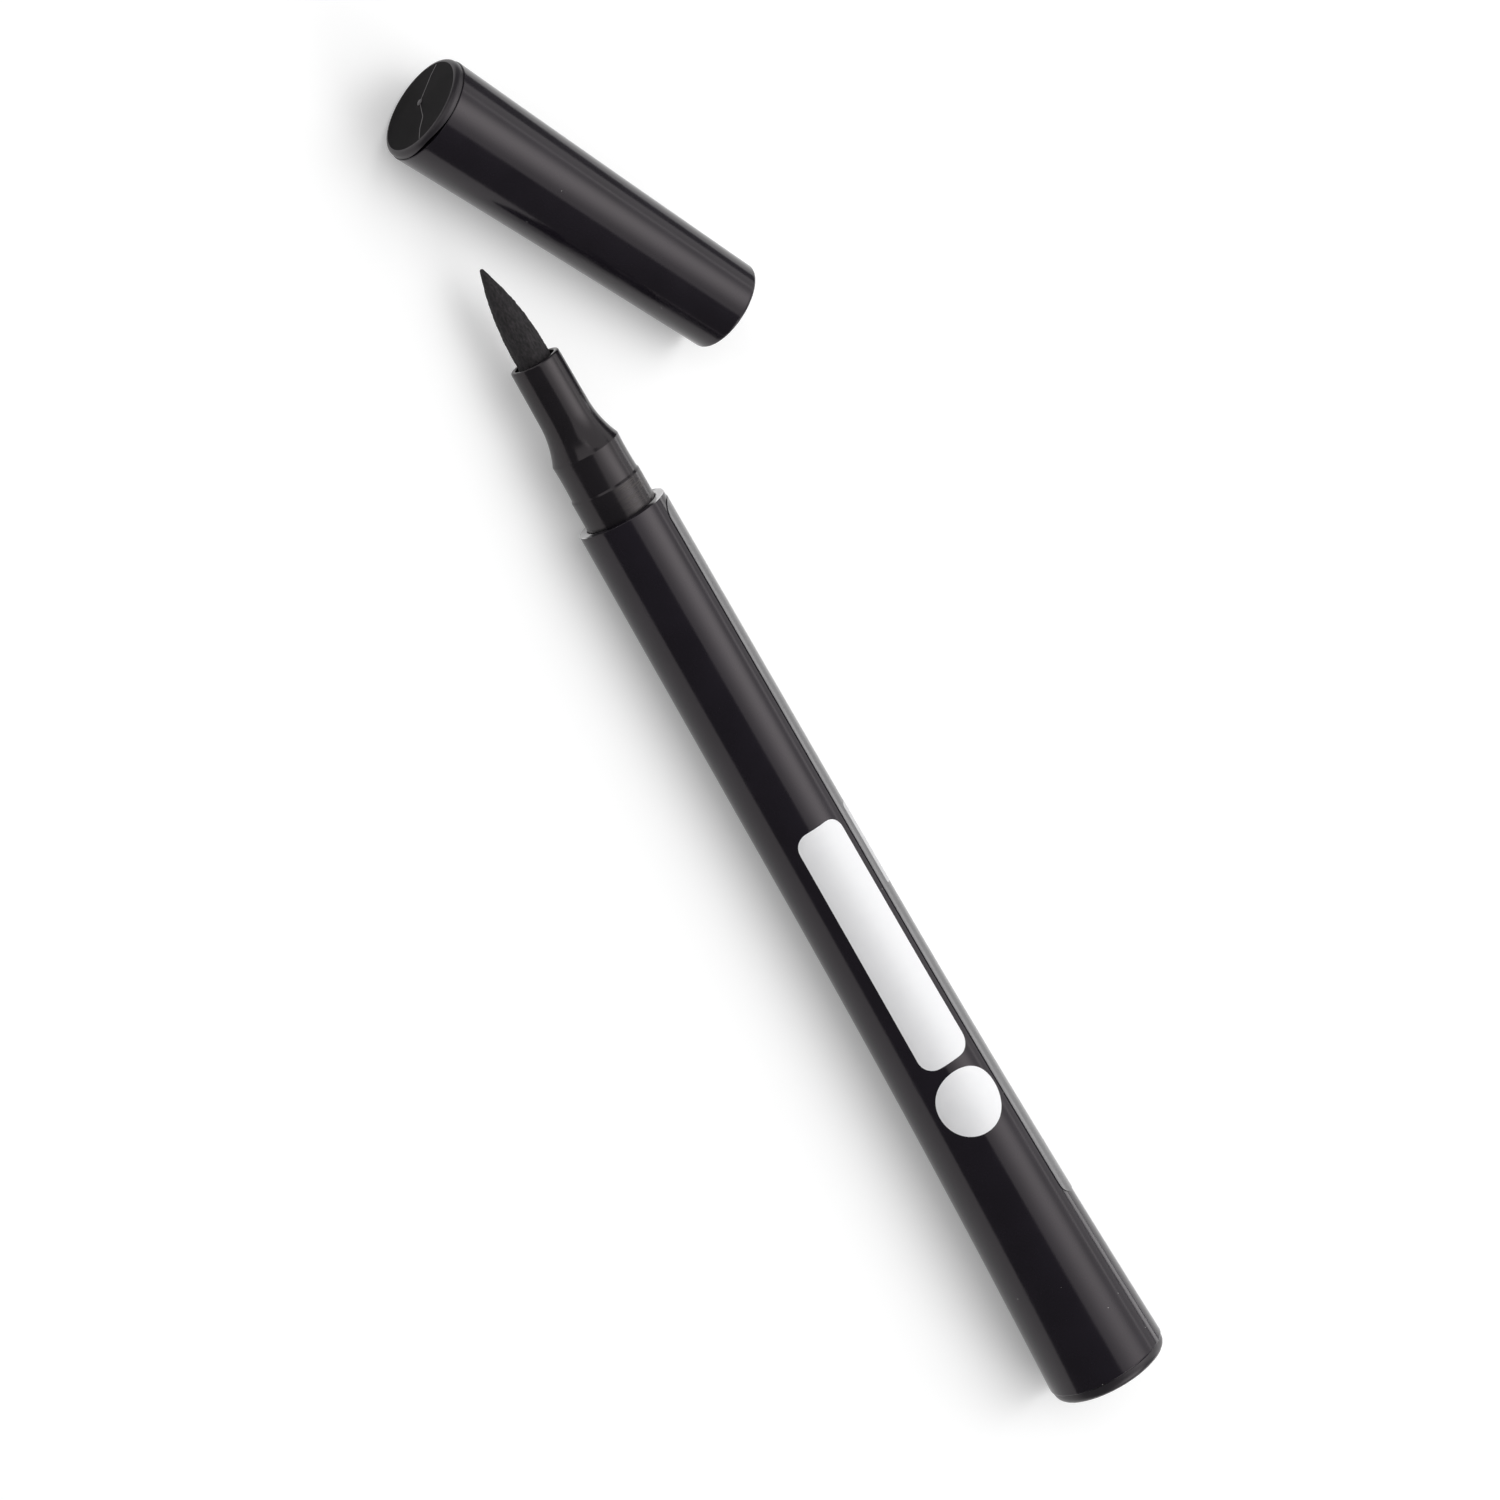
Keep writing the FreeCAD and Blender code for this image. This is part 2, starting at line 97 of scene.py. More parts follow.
# %% [markdown]
# ## Measuring the solids
#
# A lathe worker would take callipers to the pattern piece. This does the same: it lays a solid along its
# axis and reads how far it reaches and how thick it is between two places. Nothing is copied from the
# solid but a few lengths and radii.

# %% Callipers
EVERYWHERE = (-1.0, 1.0)
RIM_REACH = 1 * MM


def calliper(node, place, between=EVERYWHERE):
    """The back end, the front end and the largest radius of a solid, between two places on its axis."""
    to_axis = place.inverted()
    spots = [to_axis @ vertex.co for vertex in frame["nodes"][node].data.vertices]
    spots = [spot for spot in spots if between[0] <= spot.x <= between[1]]
    lengths = [spot.x for spot in spots]
    return min(lengths), max(lengths), max(math.hypot(spot.y, spot.z) for spot in spots)


seam_x, rim_x, tail_radius = calliper("barrel", pen_place)
rim_radius = calliper("barrel", pen_place, (rim_x - RIM_REACH, rim_x))[2]
holder_mouth_x = calliper("nib_holder", pen_place)[1]
nib_tip_x = calliper("felt_nib", pen_place)[1]
cap_seam_x, cap_mouth_x, cap_end_radius = calliper("cap_shell", cap_place)
cap_rim_radius = calliper("cap_shell", cap_place, (cap_mouth_x - RIM_REACH, cap_mouth_x))[2]
print("barrel", round((rim_x - seam_x) / MM, 2), "mm long, radius",
      round(rim_radius / MM, 2), "to", round(tail_radius / MM, 2))
print("cap", round((cap_mouth_x - cap_seam_x) / MM, 2), "mm long, radius",
      round(cap_rim_radius / MM, 2), "to", round(cap_end_radius / MM, 2))

# %% [markdown]
# ## Spinning an outline
#
# Every moulded piece of the pen is a turned shape. It could be a stack of cylinders, but the tools for
# that leave seams. One outline, spun once round the axis, gives the whole piece. An outline is a list of
# corners: a place on the axis, a radius, and how much the corner is rounded. The rounding itself is left
# to the bevel operator, run on the ring of edges that the corner became. On each side of a rounded corner
# a holding ring is put into the outline, so that the smooth shading of the corner stays at the corner.

# %% The lathe
ROUND_STEPS = 144
HOLD_SHARE = 1.7
BEVEL_STEPS = 5
ROUND_PROFILE = 0.5
NEAR = 0.001 * MM


def with_holding_rings(corners):
    """The corners with a ring before and after each rounded one, where there is room."""
    outline = []
    for index, (x, radius, rounding) in enumerate(corners):
        here = Vector((x, radius))
        for step in (-1, 1):
            beside = index + step
            if step == 1:
                outline.append((x, radius, rounding))
            if rounding and 0 <= beside < len(corners):
                there = Vector(corners[beside][:2])
                reach = (there - here).length
                if reach > 2 * HOLD_SHARE * (rounding + corners[beside][2]):
                    spot = here + (there - here) * (HOLD_SHARE * rounding / reach)
                    outline.append((spot.x, spot.y, 0))
    return outline


def spin_outline(corners, closed=False, steps=ROUND_STEPS):
    """A bmesh of an outline spun once round the x axis, with its rounded corners bevelled."""
    outline = with_holding_rings(corners)
    bm = bmesh.new()
    spots = [bm.verts.new((x, 0, radius)) for x, radius, rounding in outline]
    pairs = list(zip(spots, spots[1:])) + ([(spots[-1], spots[0])] if closed else [])
    edges = [bm.edges.new(pair) for pair in pairs]
    bmesh.ops.spin(bm, geom=spots + edges, cent=(0, 0, 0), axis=(1, 0, 0), dvec=(0, 0, 0),
                   angle=math.tau, steps=steps, use_merge=True, use_duplicate=False)
    bmesh.ops.remove_doubles(bm, verts=bm.verts, dist=NEAR)
    bmesh.ops.recalc_face_normals(bm, faces=bm.faces)
    for x, radius, rounding in corners:
        if rounding:
            round_ring(bm, x, radius, rounding)
    return bm


def round_ring(bm, x, radius, rounding):
    """Bevels the ring of edges that a corner of the outline was spun into."""
    def on_ring(vertex):
        return abs(vertex.co.x - x) < NEAR and abs(math.hypot(vertex.co.y, vertex.co.z) - radius) < NEAR
    ring = [edge for edge in bm.edges if all(on_ring(vertex) for vertex in edge.verts)]
    bmesh.ops.bevel(bm, geom=ring, offset=rounding, offset_type="OFFSET", segments=BEVEL_STEPS,
                    profile=ROUND_PROFILE, affect="EDGES", material=-1)


# %% [markdown]
# ## Setting a piece down
#
# A finished mesh is moved to its place on the table, shaded smooth but for its real edges, given its
# finish, and tied to the body that it moves with. Where it stands for a solid, that solid is hidden.

# %% Making a piece of a bmesh
EDGE_ANGLE = math.radians(34)


def set_down(bm, name, place, body, finish, stands_for=None):
    """Turns a bmesh into a piece of the pen or of the cap."""
    bm.transform(place)
    mesh = bpy.data.meshes.new(name)
    bm.to_mesh(mesh)
    bm.free()
    mesh.shade_smooth()
    mesh.set_sharp_from_angle(angle=EDGE_ANGLE)
    mesh.materials.append(finish)
    piece = bpy.data.objects.new(name, mesh)
    bpy.context.scene.collection.objects.link(piece)
    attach(piece, body)
    if stands_for:
        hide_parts(stands_for)
    print(name, "has", len(mesh.polygons), "faces")


# %% [markdown]
# ## Building a finish
#
# A finish is a small net of nodes in front of a shader. Adding and joining each node by hand takes many
# lines, so a few helpers do it: one adds any node, and the others add what this pen needs again and again,
# such as a cloud of noise, a blend of two colours or a bump. Every pattern is read from Object coordinates,
# so it stays on the piece when the piece moves.

# %% Helpers for a finish
COLOUR_INPUTS = (6, 7)
COLOUR_OUTPUT = 2


def start_finish(name, roughness):
    """A new material, its shader and its Object coordinates."""
    finish = bpy.data.materials.new(name)
    finish.use_nodes = True
    nodes = finish.node_tree.nodes
    shader = nodes["Principled BSDF"]
    shader.inputs["Roughness"].default_value = roughness
    coords = nodes.new("ShaderNodeTexCoord").outputs["Object"]
    return finish, shader, coords


def join(finish, output, socket):
    """Joins an output to a socket."""
    finish.node_tree.links.new(output, socket)


def add_node(finish, kind, links=None, **settings):
    """Adds a node, sets it up, and gives its inputs, by name or number, a socket or a value."""
    node = finish.node_tree.nodes.new(kind)
    for name, value in settings.items():
        setattr(node, name, value)
    for name, value in (links or {}).items():
        if isinstance(value, bpy.types.NodeSocket):
            join(finish, value, node.inputs[name])
        else:
            node.inputs[name].default_value = value
    return node


def add_blend(finish, share, first, second):
    """A colour between two colours, by a share from 0 to 1."""
    links = {"Factor": share}
    for number, colour in zip(COLOUR_INPUTS, (first, second)):
        links[number] = colour if isinstance(colour, bpy.types.NodeSocket) else (*colour, 1)
    return add_node(finish, "ShaderNodeMix", links, data_type="RGBA").outputs[COLOUR_OUTPUT]


def add_range(finish, value, low, high, to_low, to_high):
    """A value taken from one range to another and held inside it."""
    links = {"Value": value, "From Min": low, "From Max": high, "To Min": to_low, "To Max": to_high}
    return add_node(finish, "ShaderNodeMapRange", links).outputs["Result"]


def add_noise(finish, coords, per_metre, detail, roughness=0.5):
    """A cloudy value that turns over so many times a metre."""
    links = {"Vector": coords, "Scale": per_metre, "Detail": detail, "Roughness": roughness}
    return add_node(finish, "ShaderNodeTexNoise", links).outputs["Fac"]


def add_math(finish, operation, first, second):
    """Two values brought together."""
    return add_node(finish, "ShaderNodeMath", {0: first, 1: second}, operation=operation).outputs[0]


def add_bump(finish, shader, height, strength, depth):
    """Makes a finish uneven by a height."""
    bump = add_node(finish, "ShaderNodeBump", {"Height": height, "Strength": strength, "Distance": depth})
    join(finish, bump.outputs["Normal"], shader.inputs["Normal"])


# %% [markdown]
# ## The finish of the gloss black plastic
#
# The barrel and the cap are moulded of black plastic, polished in the mould. One black number would look
# like a drawing, so three quiet things are added: a slow drift of the tone and of the gloss, a bump far too
# fine to see by itself that softens the highlight, and a few specks of white dust, which are the cores of
# Voronoi cells that happen to lie in the surface. Two places have more to show and ask for it by name: a
# rim with a painted pale reflection at two sides, and a scuffed band.

# %% Dust and scuffs
DUST_PER_METRE = 480
DUST_CORE = 0.6
STROKE_STRETCH = (1, 0.1, 0.1)
STROKES_PER_METRE = 5000
STROKE_EDGE = (0.45, 0.62)
SCUFF_FRONT_FADE = 0.1 * MM
SCUFF_SIDE_FADE = (0.5 * MM, 1.7 * MM)


def add_dust(finish, coords, speck):
    """A mask of round specks: 1 in a speck and 0 elsewhere."""
    cells = add_node(finish, "ShaderNodeTexVoronoi", {"Vector": coords, "Scale": DUST_PER_METRE})
    edge = speck * DUST_PER_METRE
    return add_range(finish, cells.outputs["Distance"], DUST_CORE * edge, edge, 1, 0)


def add_scuffs(finish, coords, front):
    """A mask of fine strokes round one side of the pen, behind a spot on its axis."""
    mapping = add_node(finish, "ShaderNodeMapping", {"Vector": coords, "Scale": STROKE_STRETCH})
    strokes = add_noise(finish, mapping.outputs["Vector"], STROKES_PER_METRE, detail=3)
    here = add_node(finish, "ShaderNodeSeparateXYZ", {"Vector": coords}).outputs
    mask = add_range(finish, strokes, *STROKE_EDGE, 0, 1)
    behind = add_range(finish, here["X"], front.x - SCUFF_FRONT_FADE, front.x, 1, 0)
    aside = add_range(finish, here["Y"], *(front.y + fade for fade in SCUFF_SIDE_FADE), 1, 0)
    return add_math(finish, "MULTIPLY", add_math(finish, "MULTIPLY", mask, behind), aside)


# %% Gloss black plastic
SHEEN_TINT = (1, 0.92, 0.94, 1)
DRIFT_PER_METRE = 220
SKIN_PER_METRE = 5200
CLOUD_MIDDLE = (0.3, 0.7)
DARK_SHARE = 0.75
DUST_GREY = (0.42, 0.41, 0.4)
# The pale of the painted reflection on the barrel's rim.
PAINTED_REFLECTION_PALE = (0.86, 0.855, 0.86)
PALE_MATT_SHARE = 0.4
SCUFF_GREY = (0.03, 0.027, 0.025)
SCUFF_MATT = 0.15


def gloss_black(name, tone, gloss, dust_speck, shine=0.38, painted_reflection_name=None, scuffed_behind=None):
    """Black moulded plastic with a drifting tone and gloss, a fine skin and some dust."""
    finish, shader, coords = start_finish(name, gloss[0])
    shader.inputs["Specular IOR Level"].default_value = shine
    shader.inputs["Specular Tint"].default_value = SHEEN_TINT
    drift = add_noise(finish, coords, DRIFT_PER_METRE, detail=3)
    dark = [DARK_SHARE * value for value in tone]
    plastic = add_blend(finish, add_range(finish, drift, *CLOUD_MIDDLE, 0, 1), dark, tone)
    matt = add_range(finish, drift, *CLOUD_MIDDLE, *gloss)
    # An attribute can paint a pale reflection onto the plastic, as on the barrel's rim.
    if painted_reflection_name:
        painted_reflection_share = add_node(finish, "ShaderNodeAttribute", attribute_name=painted_reflection_name).outputs["Fac"]
        plastic = add_blend(finish, painted_reflection_share, plastic, PAINTED_REFLECTION_PALE)
        matt = add_math(finish, "MULTIPLY", matt, add_range(finish, painted_reflection_share, 0, 1, 1, PALE_MATT_SHARE))
    if scuffed_behind is not None:
        scuffs = add_scuffs(finish, coords, scuffed_behind)
        plastic = add_blend(finish, scuffs, plastic, SCUFF_GREY)
        matt = add_math(finish, "ADD", matt, add_range(finish, scuffs, 0, 1, 0, SCUFF_MATT))
    dusty = add_blend(finish, add_dust(finish, coords, dust_speck), plastic, DUST_GREY)
    join(finish, dusty, shader.inputs["Base Color"])
    join(finish, matt, shader.inputs["Roughness"])
    skin = add_noise(finish, coords, SKIN_PER_METRE, detail=2)
    add_bump(finish, shader, skin, strength=0.05, depth=0.02 * MM)
    return finish


barrel_black = gloss_black("barrel_gloss_black", tone=(0.0115, 0.0095, 0.0145), gloss=(0.12, 0.16),
                           dust_speck=0.05 * MM, painted_reflection_name="rim_painted_reflection")
cap_black = gloss_black("cap_gloss_black", tone=(0.0115, 0.0095, 0.014), gloss=(0.13, 0.17),
                        dust_speck=0.05 * MM)
plug_black = gloss_black("plug_black", tone=(0.026, 0.024, 0.028), gloss=(0.28, 0.38),
                         dust_speck=0.04 * MM)
print("black plastics:", [finish.name for finish in (barrel_black, cap_black, plug_black)])

# %% [markdown]
# ## The barrel
#
# The barrel is a tube that tapers a little behind its rim and then flares in one long sweep to the tail.
# The sweep starts out in the taper's own direction, so that no ring shows where the two meet: that is a
# parabola laid on the slope of the taper. The wall is closed on the inside as well, because the thin
# black gap between the rim and the nib holder is where one looks in. The face of the rim carries a painted
# reflection: it is painted pale at two sides, across from each other, as the bright surroundings would show
# there. How pale each point is goes with the mesh as an attribute, which the finish reads.

# %% The barrel's sweep
TAPER_LENGTH = 40 * MM
TAPER_RISE = 0.245 * MM
RIM_WALL = 0.77 * MM
COLLAR_DEPTH = 8 * MM
TAIL_WALL = 1.06 * MM
RIM_ROUNDING = 0.06 * MM
SEAM_ROUNDING = 0.14 * MM
SWEEP_RINGS = 31
PALE_ANGLE = math.radians(128)
PALE_SIDE = Vector((0, math.sin(PALE_ANGLE), math.cos(PALE_ANGLE)))
PALE_FROM, PALE_FULL = 0.78, 0.86
PALE_DEPTH = 0.05 * MM
taper_back_x = rim_x - TAPER_LENGTH
flare_run = taper_back_x - seam_x


def sweep_radius(x):
    """The radius of the outside of the barrel at a place along the pen."""
    slope = TAPER_RISE / TAPER_LENGTH
    flare = tail_radius - rim_radius - slope * (rim_x - seam_x)
    share = max(taper_back_x - x, 0) / flare_run
    return rim_radius + slope * (rim_x - x) + flare * share ** 2


def stations(first, last, count):
    """Evenly spaced places between two places, without the two themselves."""
    return [first + (last - first) * step / (count + 1) for step in range(1, count + 1)]


barrel_outline = [(rim_x, sweep_radius(rim_x), RIM_ROUNDING)]
barrel_outline += [(x, sweep_radius(x), 0) for x in stations(rim_x, seam_x, SWEEP_RINGS)]
barrel_outline += [
    (seam_x, sweep_radius(seam_x), SEAM_ROUNDING),
    (seam_x, tail_radius - TAIL_WALL, 0),
    (rim_x - COLLAR_DEPTH, rim_radius - RIM_WALL, 0),
    (rim_x, rim_radius - RIM_WALL, 0),
]
barrel_bm = spin_outline(barrel_outline, closed=True)
# Painted reflection: this attribute paints the rim's face pale at two sides, across from each other.
rim_painted_reflection = barrel_bm.verts.layers.float.new("rim_painted_reflection")
for vertex in barrel_bm.verts:
    out = Vector((0, vertex.co.y, vertex.co.z))
    aside_share = abs(out.normalized().dot(PALE_SIDE))
    pale_share = min(max((aside_share - PALE_FROM) / (PALE_FULL - PALE_FROM), 0), 1)
    vertex[rim_painted_reflection] = pale_share if vertex.co.x > rim_x - PALE_DEPTH else 0
set_down(barrel_bm, "barrel_tube", pen_place, "pen", barrel_black, "barrel")

# %% [markdown]
# ## The tail plug
#
# The back of the barrel is closed by a plug. Only its flange shows: a disc a little narrower than the
# barrel, rounded over, with a fine groove where it meets the barrel. The skirt behind it is drawn too,
# since it closes the groove.

# %% The tail plug
SKIRT_LENGTH = 6 * MM
SKIRT_TAPER = 0.1 * MM
FIT_GAP = 0.02 * MM
FLANGE_ROUND_SHARE = 0.72
FLANGE_EDGE_SHARE = 0.06
plug_radius = calliper("tail_plug", pen_place)[2]
skirt_radius = tail_radius - TAIL_WALL - FIT_GAP
tail_outline = [
    (0, 0, 0),
    (0, plug_radius, FLANGE_ROUND_SHARE * seam_x),
    (seam_x, plug_radius, FLANGE_EDGE_SHARE * seam_x),
    (seam_x, skirt_radius, 0),
    (seam_x + SKIRT_LENGTH, skirt_radius - SKIRT_TAPER, 0),
    (seam_x + SKIRT_LENGTH, 0, 0),
]
set_down(spin_outline(tail_outline), "tail_plug_turned", pen_place, "pen",
         plug_black, "tail_plug")

# %% [markdown]
# ## The nib holder
#
# In front of the rim the holder steps in twice: a band that the cap's mouth goes over, and a slightly
# hollow band that the cap seals on. A sharp shoulder follows, then a hollow flare down to the slim neck
# that holds the nib. The flare is a parabola that starts along the neck. The cap has rubbed fine strokes
# round the band that its mouth goes over, so the finish is made here, where that band's end is known.

# %% The sizes of the nib holder
BAND_BETWEEN = (1 * MM, 3.05 * MM)
BAND_LENGTH = 2.99 * MM
BAND_SLOPE = 0.2 * MM
SEAL_LENGTH = 3.52 * MM
SHOULDER_SLOPE = 0.3 * MM
FLARE_LENGTH = 3.68 * MM
SEAL_STEP = 0.11 * MM
SHOULDER_STEP = 0.14 * MM
NECK_STEP = 0.72 * MM
MOUTH_STEP = 0.06 * MM
NECK_WALL = 0.5 * MM
band_radius = calliper("nib_holder", pen_place, [rim_x + reach for reach in BAND_BETWEEN])[2]
seal_radius = band_radius - SEAL_STEP
shoulder_radius = seal_radius - SHOULDER_STEP
neck_radius = shoulder_radius - NECK_STEP
mouth_radius = neck_radius - MOUTH_STEP
holder_bore_radius = neck_radius - NECK_WALL
band_front_x = rim_x + BAND_LENGTH
seal_back_x = band_front_x + BAND_SLOPE
seal_front_x = seal_back_x + SEAL_LENGTH
shoulder_x = seal_front_x + SHOULDER_SLOPE
neck_back_x = shoulder_x + FLARE_LENGTH
print("holder's radius", round(band_radius / MM, 2), "to", round(neck_radius / MM, 2), "mm")

# %% The nib holder
SEAL_HOLLOW = 0.04 * MM
NIB_BORE_DEPTH = 7 * MM
BORE_ROUNDING = 0.12 * MM
MOUTH_ROUNDING = 0.19 * MM
EDGE_ROUNDING = 0.04 * MM
SEAL_ROUNDING = 0.03 * MM
NECK_SHARES = (0.25, 0.5, 0.75)
FLARE_RINGS = 14
SEAL_RINGS = 9
BAND_DEPTH = 1.2 * MM
band_front_spot = pen_place @ Vector((band_front_x, 0, 0))
holder_black = gloss_black("holder_black", tone=(0.0125, 0.011, 0.0135), gloss=(0.15, 0.21),
                           dust_speck=0.045 * MM, scuffed_behind=band_front_spot)


def flare_radius(x):
    """The radius of the holder's hollow flare, from the shoulder to the neck."""
    share = (neck_back_x - x) / (neck_back_x - shoulder_x)
    return neck_radius + (shoulder_radius - neck_radius) * share ** 2


def seal_outline_radius(x):
    """The radius of the hollow seal band."""
    share = 2 * (x - seal_back_x) / (seal_front_x - seal_back_x) - 1
    return seal_radius - SEAL_HOLLOW * (1 - share ** 2)


holder_outline = [
    (holder_mouth_x - NIB_BORE_DEPTH, 0, 0),
    (holder_mouth_x - NIB_BORE_DEPTH, holder_bore_radius, 0),
    (holder_mouth_x, holder_bore_radius, BORE_ROUNDING),
    (holder_mouth_x, mouth_radius, MOUTH_ROUNDING),
]
neck_rings = stations(holder_mouth_x, neck_back_x, len(NECK_SHARES))
holder_outline += [(x, mouth_radius + (neck_radius - mouth_radius) * share, 0)
                   for x, share in zip(neck_rings, NECK_SHARES)]
holder_outline += [(x, flare_radius(x), 0) for x in stations(neck_back_x, shoulder_x, FLARE_RINGS)]
holder_outline += [(shoulder_x, shoulder_radius, EDGE_ROUNDING), (seal_front_x, seal_radius, SEAL_ROUNDING)]
holder_outline += [(x, seal_outline_radius(x), 0) for x in stations(seal_front_x, seal_back_x, SEAL_RINGS)]
holder_outline += [
    (seal_back_x, seal_radius, SEAL_ROUNDING),
    (band_front_x, band_radius, EDGE_ROUNDING),
    (rim_x - BAND_DEPTH, band_radius, 0),
    (rim_x - BAND_DEPTH, rim_radius - RIM_WALL - FIT_GAP, 0),
    (rim_x - COLLAR_DEPTH, rim_radius - RIM_WALL - FIT_GAP, 0),
    (rim_x - COLLAR_DEPTH, 0, 0),
]
set_down(spin_outline(holder_outline), "nib_holder_turned", pen_place, "pen",
         holder_black, "nib_holder")

# %% [markdown]
# ## The felt nib
#
# The nib is a stick of pressed fibre, ground to a pointed ogive and soaked with ink. Up close it is rough
# as felt is: small pits and fibre ends. A bump in the finish alone would leave the outline smooth, so the
# spun nib has many rings, and each of its points is pushed in or out by two sizes of noise, stretched
# along the fibres. The tip leans a hair to one side, as a soft nib does. In the finish, the hollows
# between the fibre ends and some pits are painted darker, as painted shade.

# %% The nib's felt
FIBRE_STRETCH = (0.45, 1, 1)
FIBRES_PER_METRE = 5500
PITS_PER_METRE = 2800
FIBRE_EDGE = (0.36, 0.66)
PIT_EDGE = (0.15, 0.5)
PIT_SHADE_SHARE = 0.75
# The black of the painted shade in the felt's hollows and pits.
HOLLOW_SHADE_BLACK = (0.005, 0.0045, 0.005)
FIBRE_GREY = (0.038, 0.0325, 0.036)


def ink_felt(name):
    """Felt soaked with black ink, with painted shade: fibre ends a little paler than the hollows and pits
    between them, which are painted darker.
    """
    finish, shader, coords = start_finish(name, 0.85)
    mapping = add_node(finish, "ShaderNodeMapping", {"Vector": coords, "Scale": FIBRE_STRETCH})
    along = mapping.outputs["Vector"]
    fibre = add_noise(finish, along, FIBRES_PER_METRE, detail=6, roughness=0.7)
    cells = add_node(finish, "ShaderNodeTexVoronoi", {"Vector": along, "Scale": PITS_PER_METRE})
    # Painted shade: the felt is painted darker where its bump is low, and darker still in Voronoi pits.
    tone = add_blend(finish, add_range(finish, fibre, *FIBRE_EDGE, 0, 1), HOLLOW_SHADE_BLACK, FIBRE_GREY)
    pits = add_range(finish, cells.outputs["Distance"], *PIT_EDGE, PIT_SHADE_SHARE, 0)
    join(finish, add_blend(finish, pits, tone, HOLLOW_SHADE_BLACK), shader.inputs["Base Color"])
    join(finish, add_range(finish, fibre, *CLOUD_MIDDLE, 0.75, 0.95), shader.inputs["Roughness"])
    add_bump(finish, shader, fibre, strength=0.7, depth=0.05 * MM)
    return finish


nib_felt = ink_felt("ink_soaked_felt")
print("felt:", nib_felt.name)

# %% The felt nib
NIB_TIP = 0.2 * MM
NIB_LEAN = 0.1 * MM
FELT_PIT = 0.1 * MM
STRAIGHT_SHOWN = 0.65 * MM
SHANK_DEPTH = 6.9 * MM
ROUGH_DEPTH = 2 * MM
NIB_STEPS = 120
OGIVE_RINGS = 110
SHANK_RINGS = 20
COARSE_WAVES = (900, 2200, 2200)
FINE_WAVES = (3000, 7000, 7000)
nib_radius = calliper("felt_nib", pen_place)[2]
ogive_back_x = holder_mouth_x + STRAIGHT_SHOWN
ogive_length = nib_tip_x - NIB_TIP - ogive_back_x
ogive_drop = nib_radius - NIB_TIP
ogive_arc = (ogive_length ** 2 + ogive_drop ** 2) / (2 * ogive_drop)


def ogive_radius(x):
    """The radius of the nib in front of its straight shank: an arc of a circle."""
    run = max(x - ogive_back_x, 0)
    return math.sqrt(ogive_arc ** 2 - run ** 2) - ogive_arc + nib_radius


nib_outline = [
    (nib_tip_x, 0, 0),
    (nib_tip_x - 0.3 * NIB_TIP, 0.7 * NIB_TIP, 0),
    (nib_tip_x - NIB_TIP, NIB_TIP, 0),
]
nib_outline += [(x, ogive_radius(x), 0) for x in stations(nib_tip_x - NIB_TIP, ogive_back_x, OGIVE_RINGS)]
nib_outline += [(x, nib_radius, 0) for x in stations(ogive_back_x, holder_mouth_x - ROUGH_DEPTH, SHANK_RINGS)]
nib_outline += [(holder_mouth_x - SHANK_DEPTH, nib_radius, 0), (holder_mouth_x - SHANK_DEPTH, 0, 0)]
nib_bm = spin_outline(nib_outline, steps=NIB_STEPS)
for vertex in nib_bm.verts:
    out = Vector((0, vertex.co.y, vertex.co.z))
    room = min(1, out.length / (4 * NIB_TIP))
    coarse, fine = (noise.noise(Vector([wave * value for wave, value in zip(waves, vertex.co)]))
                    for waves in (COARSE_WAVES, FINE_WAVES))
    if out.length > NEAR:
        vertex.co += out.normalized() * (FELT_PIT * room * (0.5 * coarse + 0.5 * fine))
    share = max(vertex.co.x - ogive_back_x, 0) / (nib_tip_x - ogive_back_x)
    vertex.co.y += NIB_LEAN * share
set_down(nib_bm, "felt_nib_ground", pen_place, "pen", nib_felt, "felt_nib")

# %% [markdown]
# ## The cap
#
# The cap is a tube as wide as the barrel's rim at its mouth and wider at its closed end. It is made as the
# barrel is, with its bore and the pocket that the seal liner sits in, so that one can look in at the
# mouth. The liner itself stays a solid of the frame.

# %% The cap shell
CAP_TAPER_LENGTH = 8 * MM
CAP_TAPER_RISE = 0.144 * MM
CAP_SWEEP_RINGS = 15
CAP_RIM_ROUNDING = 0.25 * MM
CAP_SEAM_ROUNDING = 0.08 * MM
CAP_MOUTH_LEAD = 0.12 * MM
POCKET_DEPTH = 3.3 * MM
POCKET_STEP = 0.22 * MM
END_SEAT_WALL = 0.8 * MM
END_SEAT_DEPTH = 3 * MM
cap_taper_back_x = cap_mouth_x - CAP_TAPER_LENGTH
cap_bore_radius = mounts["cap_mouth"]["dims"]["r_mm"] * MM
cap_pocket_x = cap_mouth_x - POCKET_DEPTH
cap_pocket_radius = cap_bore_radius + POCKET_STEP
end_seat_x = cap_seam_x + END_SEAT_DEPTH


def cap_sweep_radius(x):
    """The radius of the outside of the cap at a place along it."""
    slope = CAP_TAPER_RISE / CAP_TAPER_LENGTH
    flare = cap_end_radius - cap_rim_radius - slope * (cap_mouth_x - cap_seam_x)
    share = max(cap_taper_back_x - x, 0) / (cap_taper_back_x - cap_seam_x)
    return cap_rim_radius + slope * (cap_mouth_x - x) + flare * share ** 2


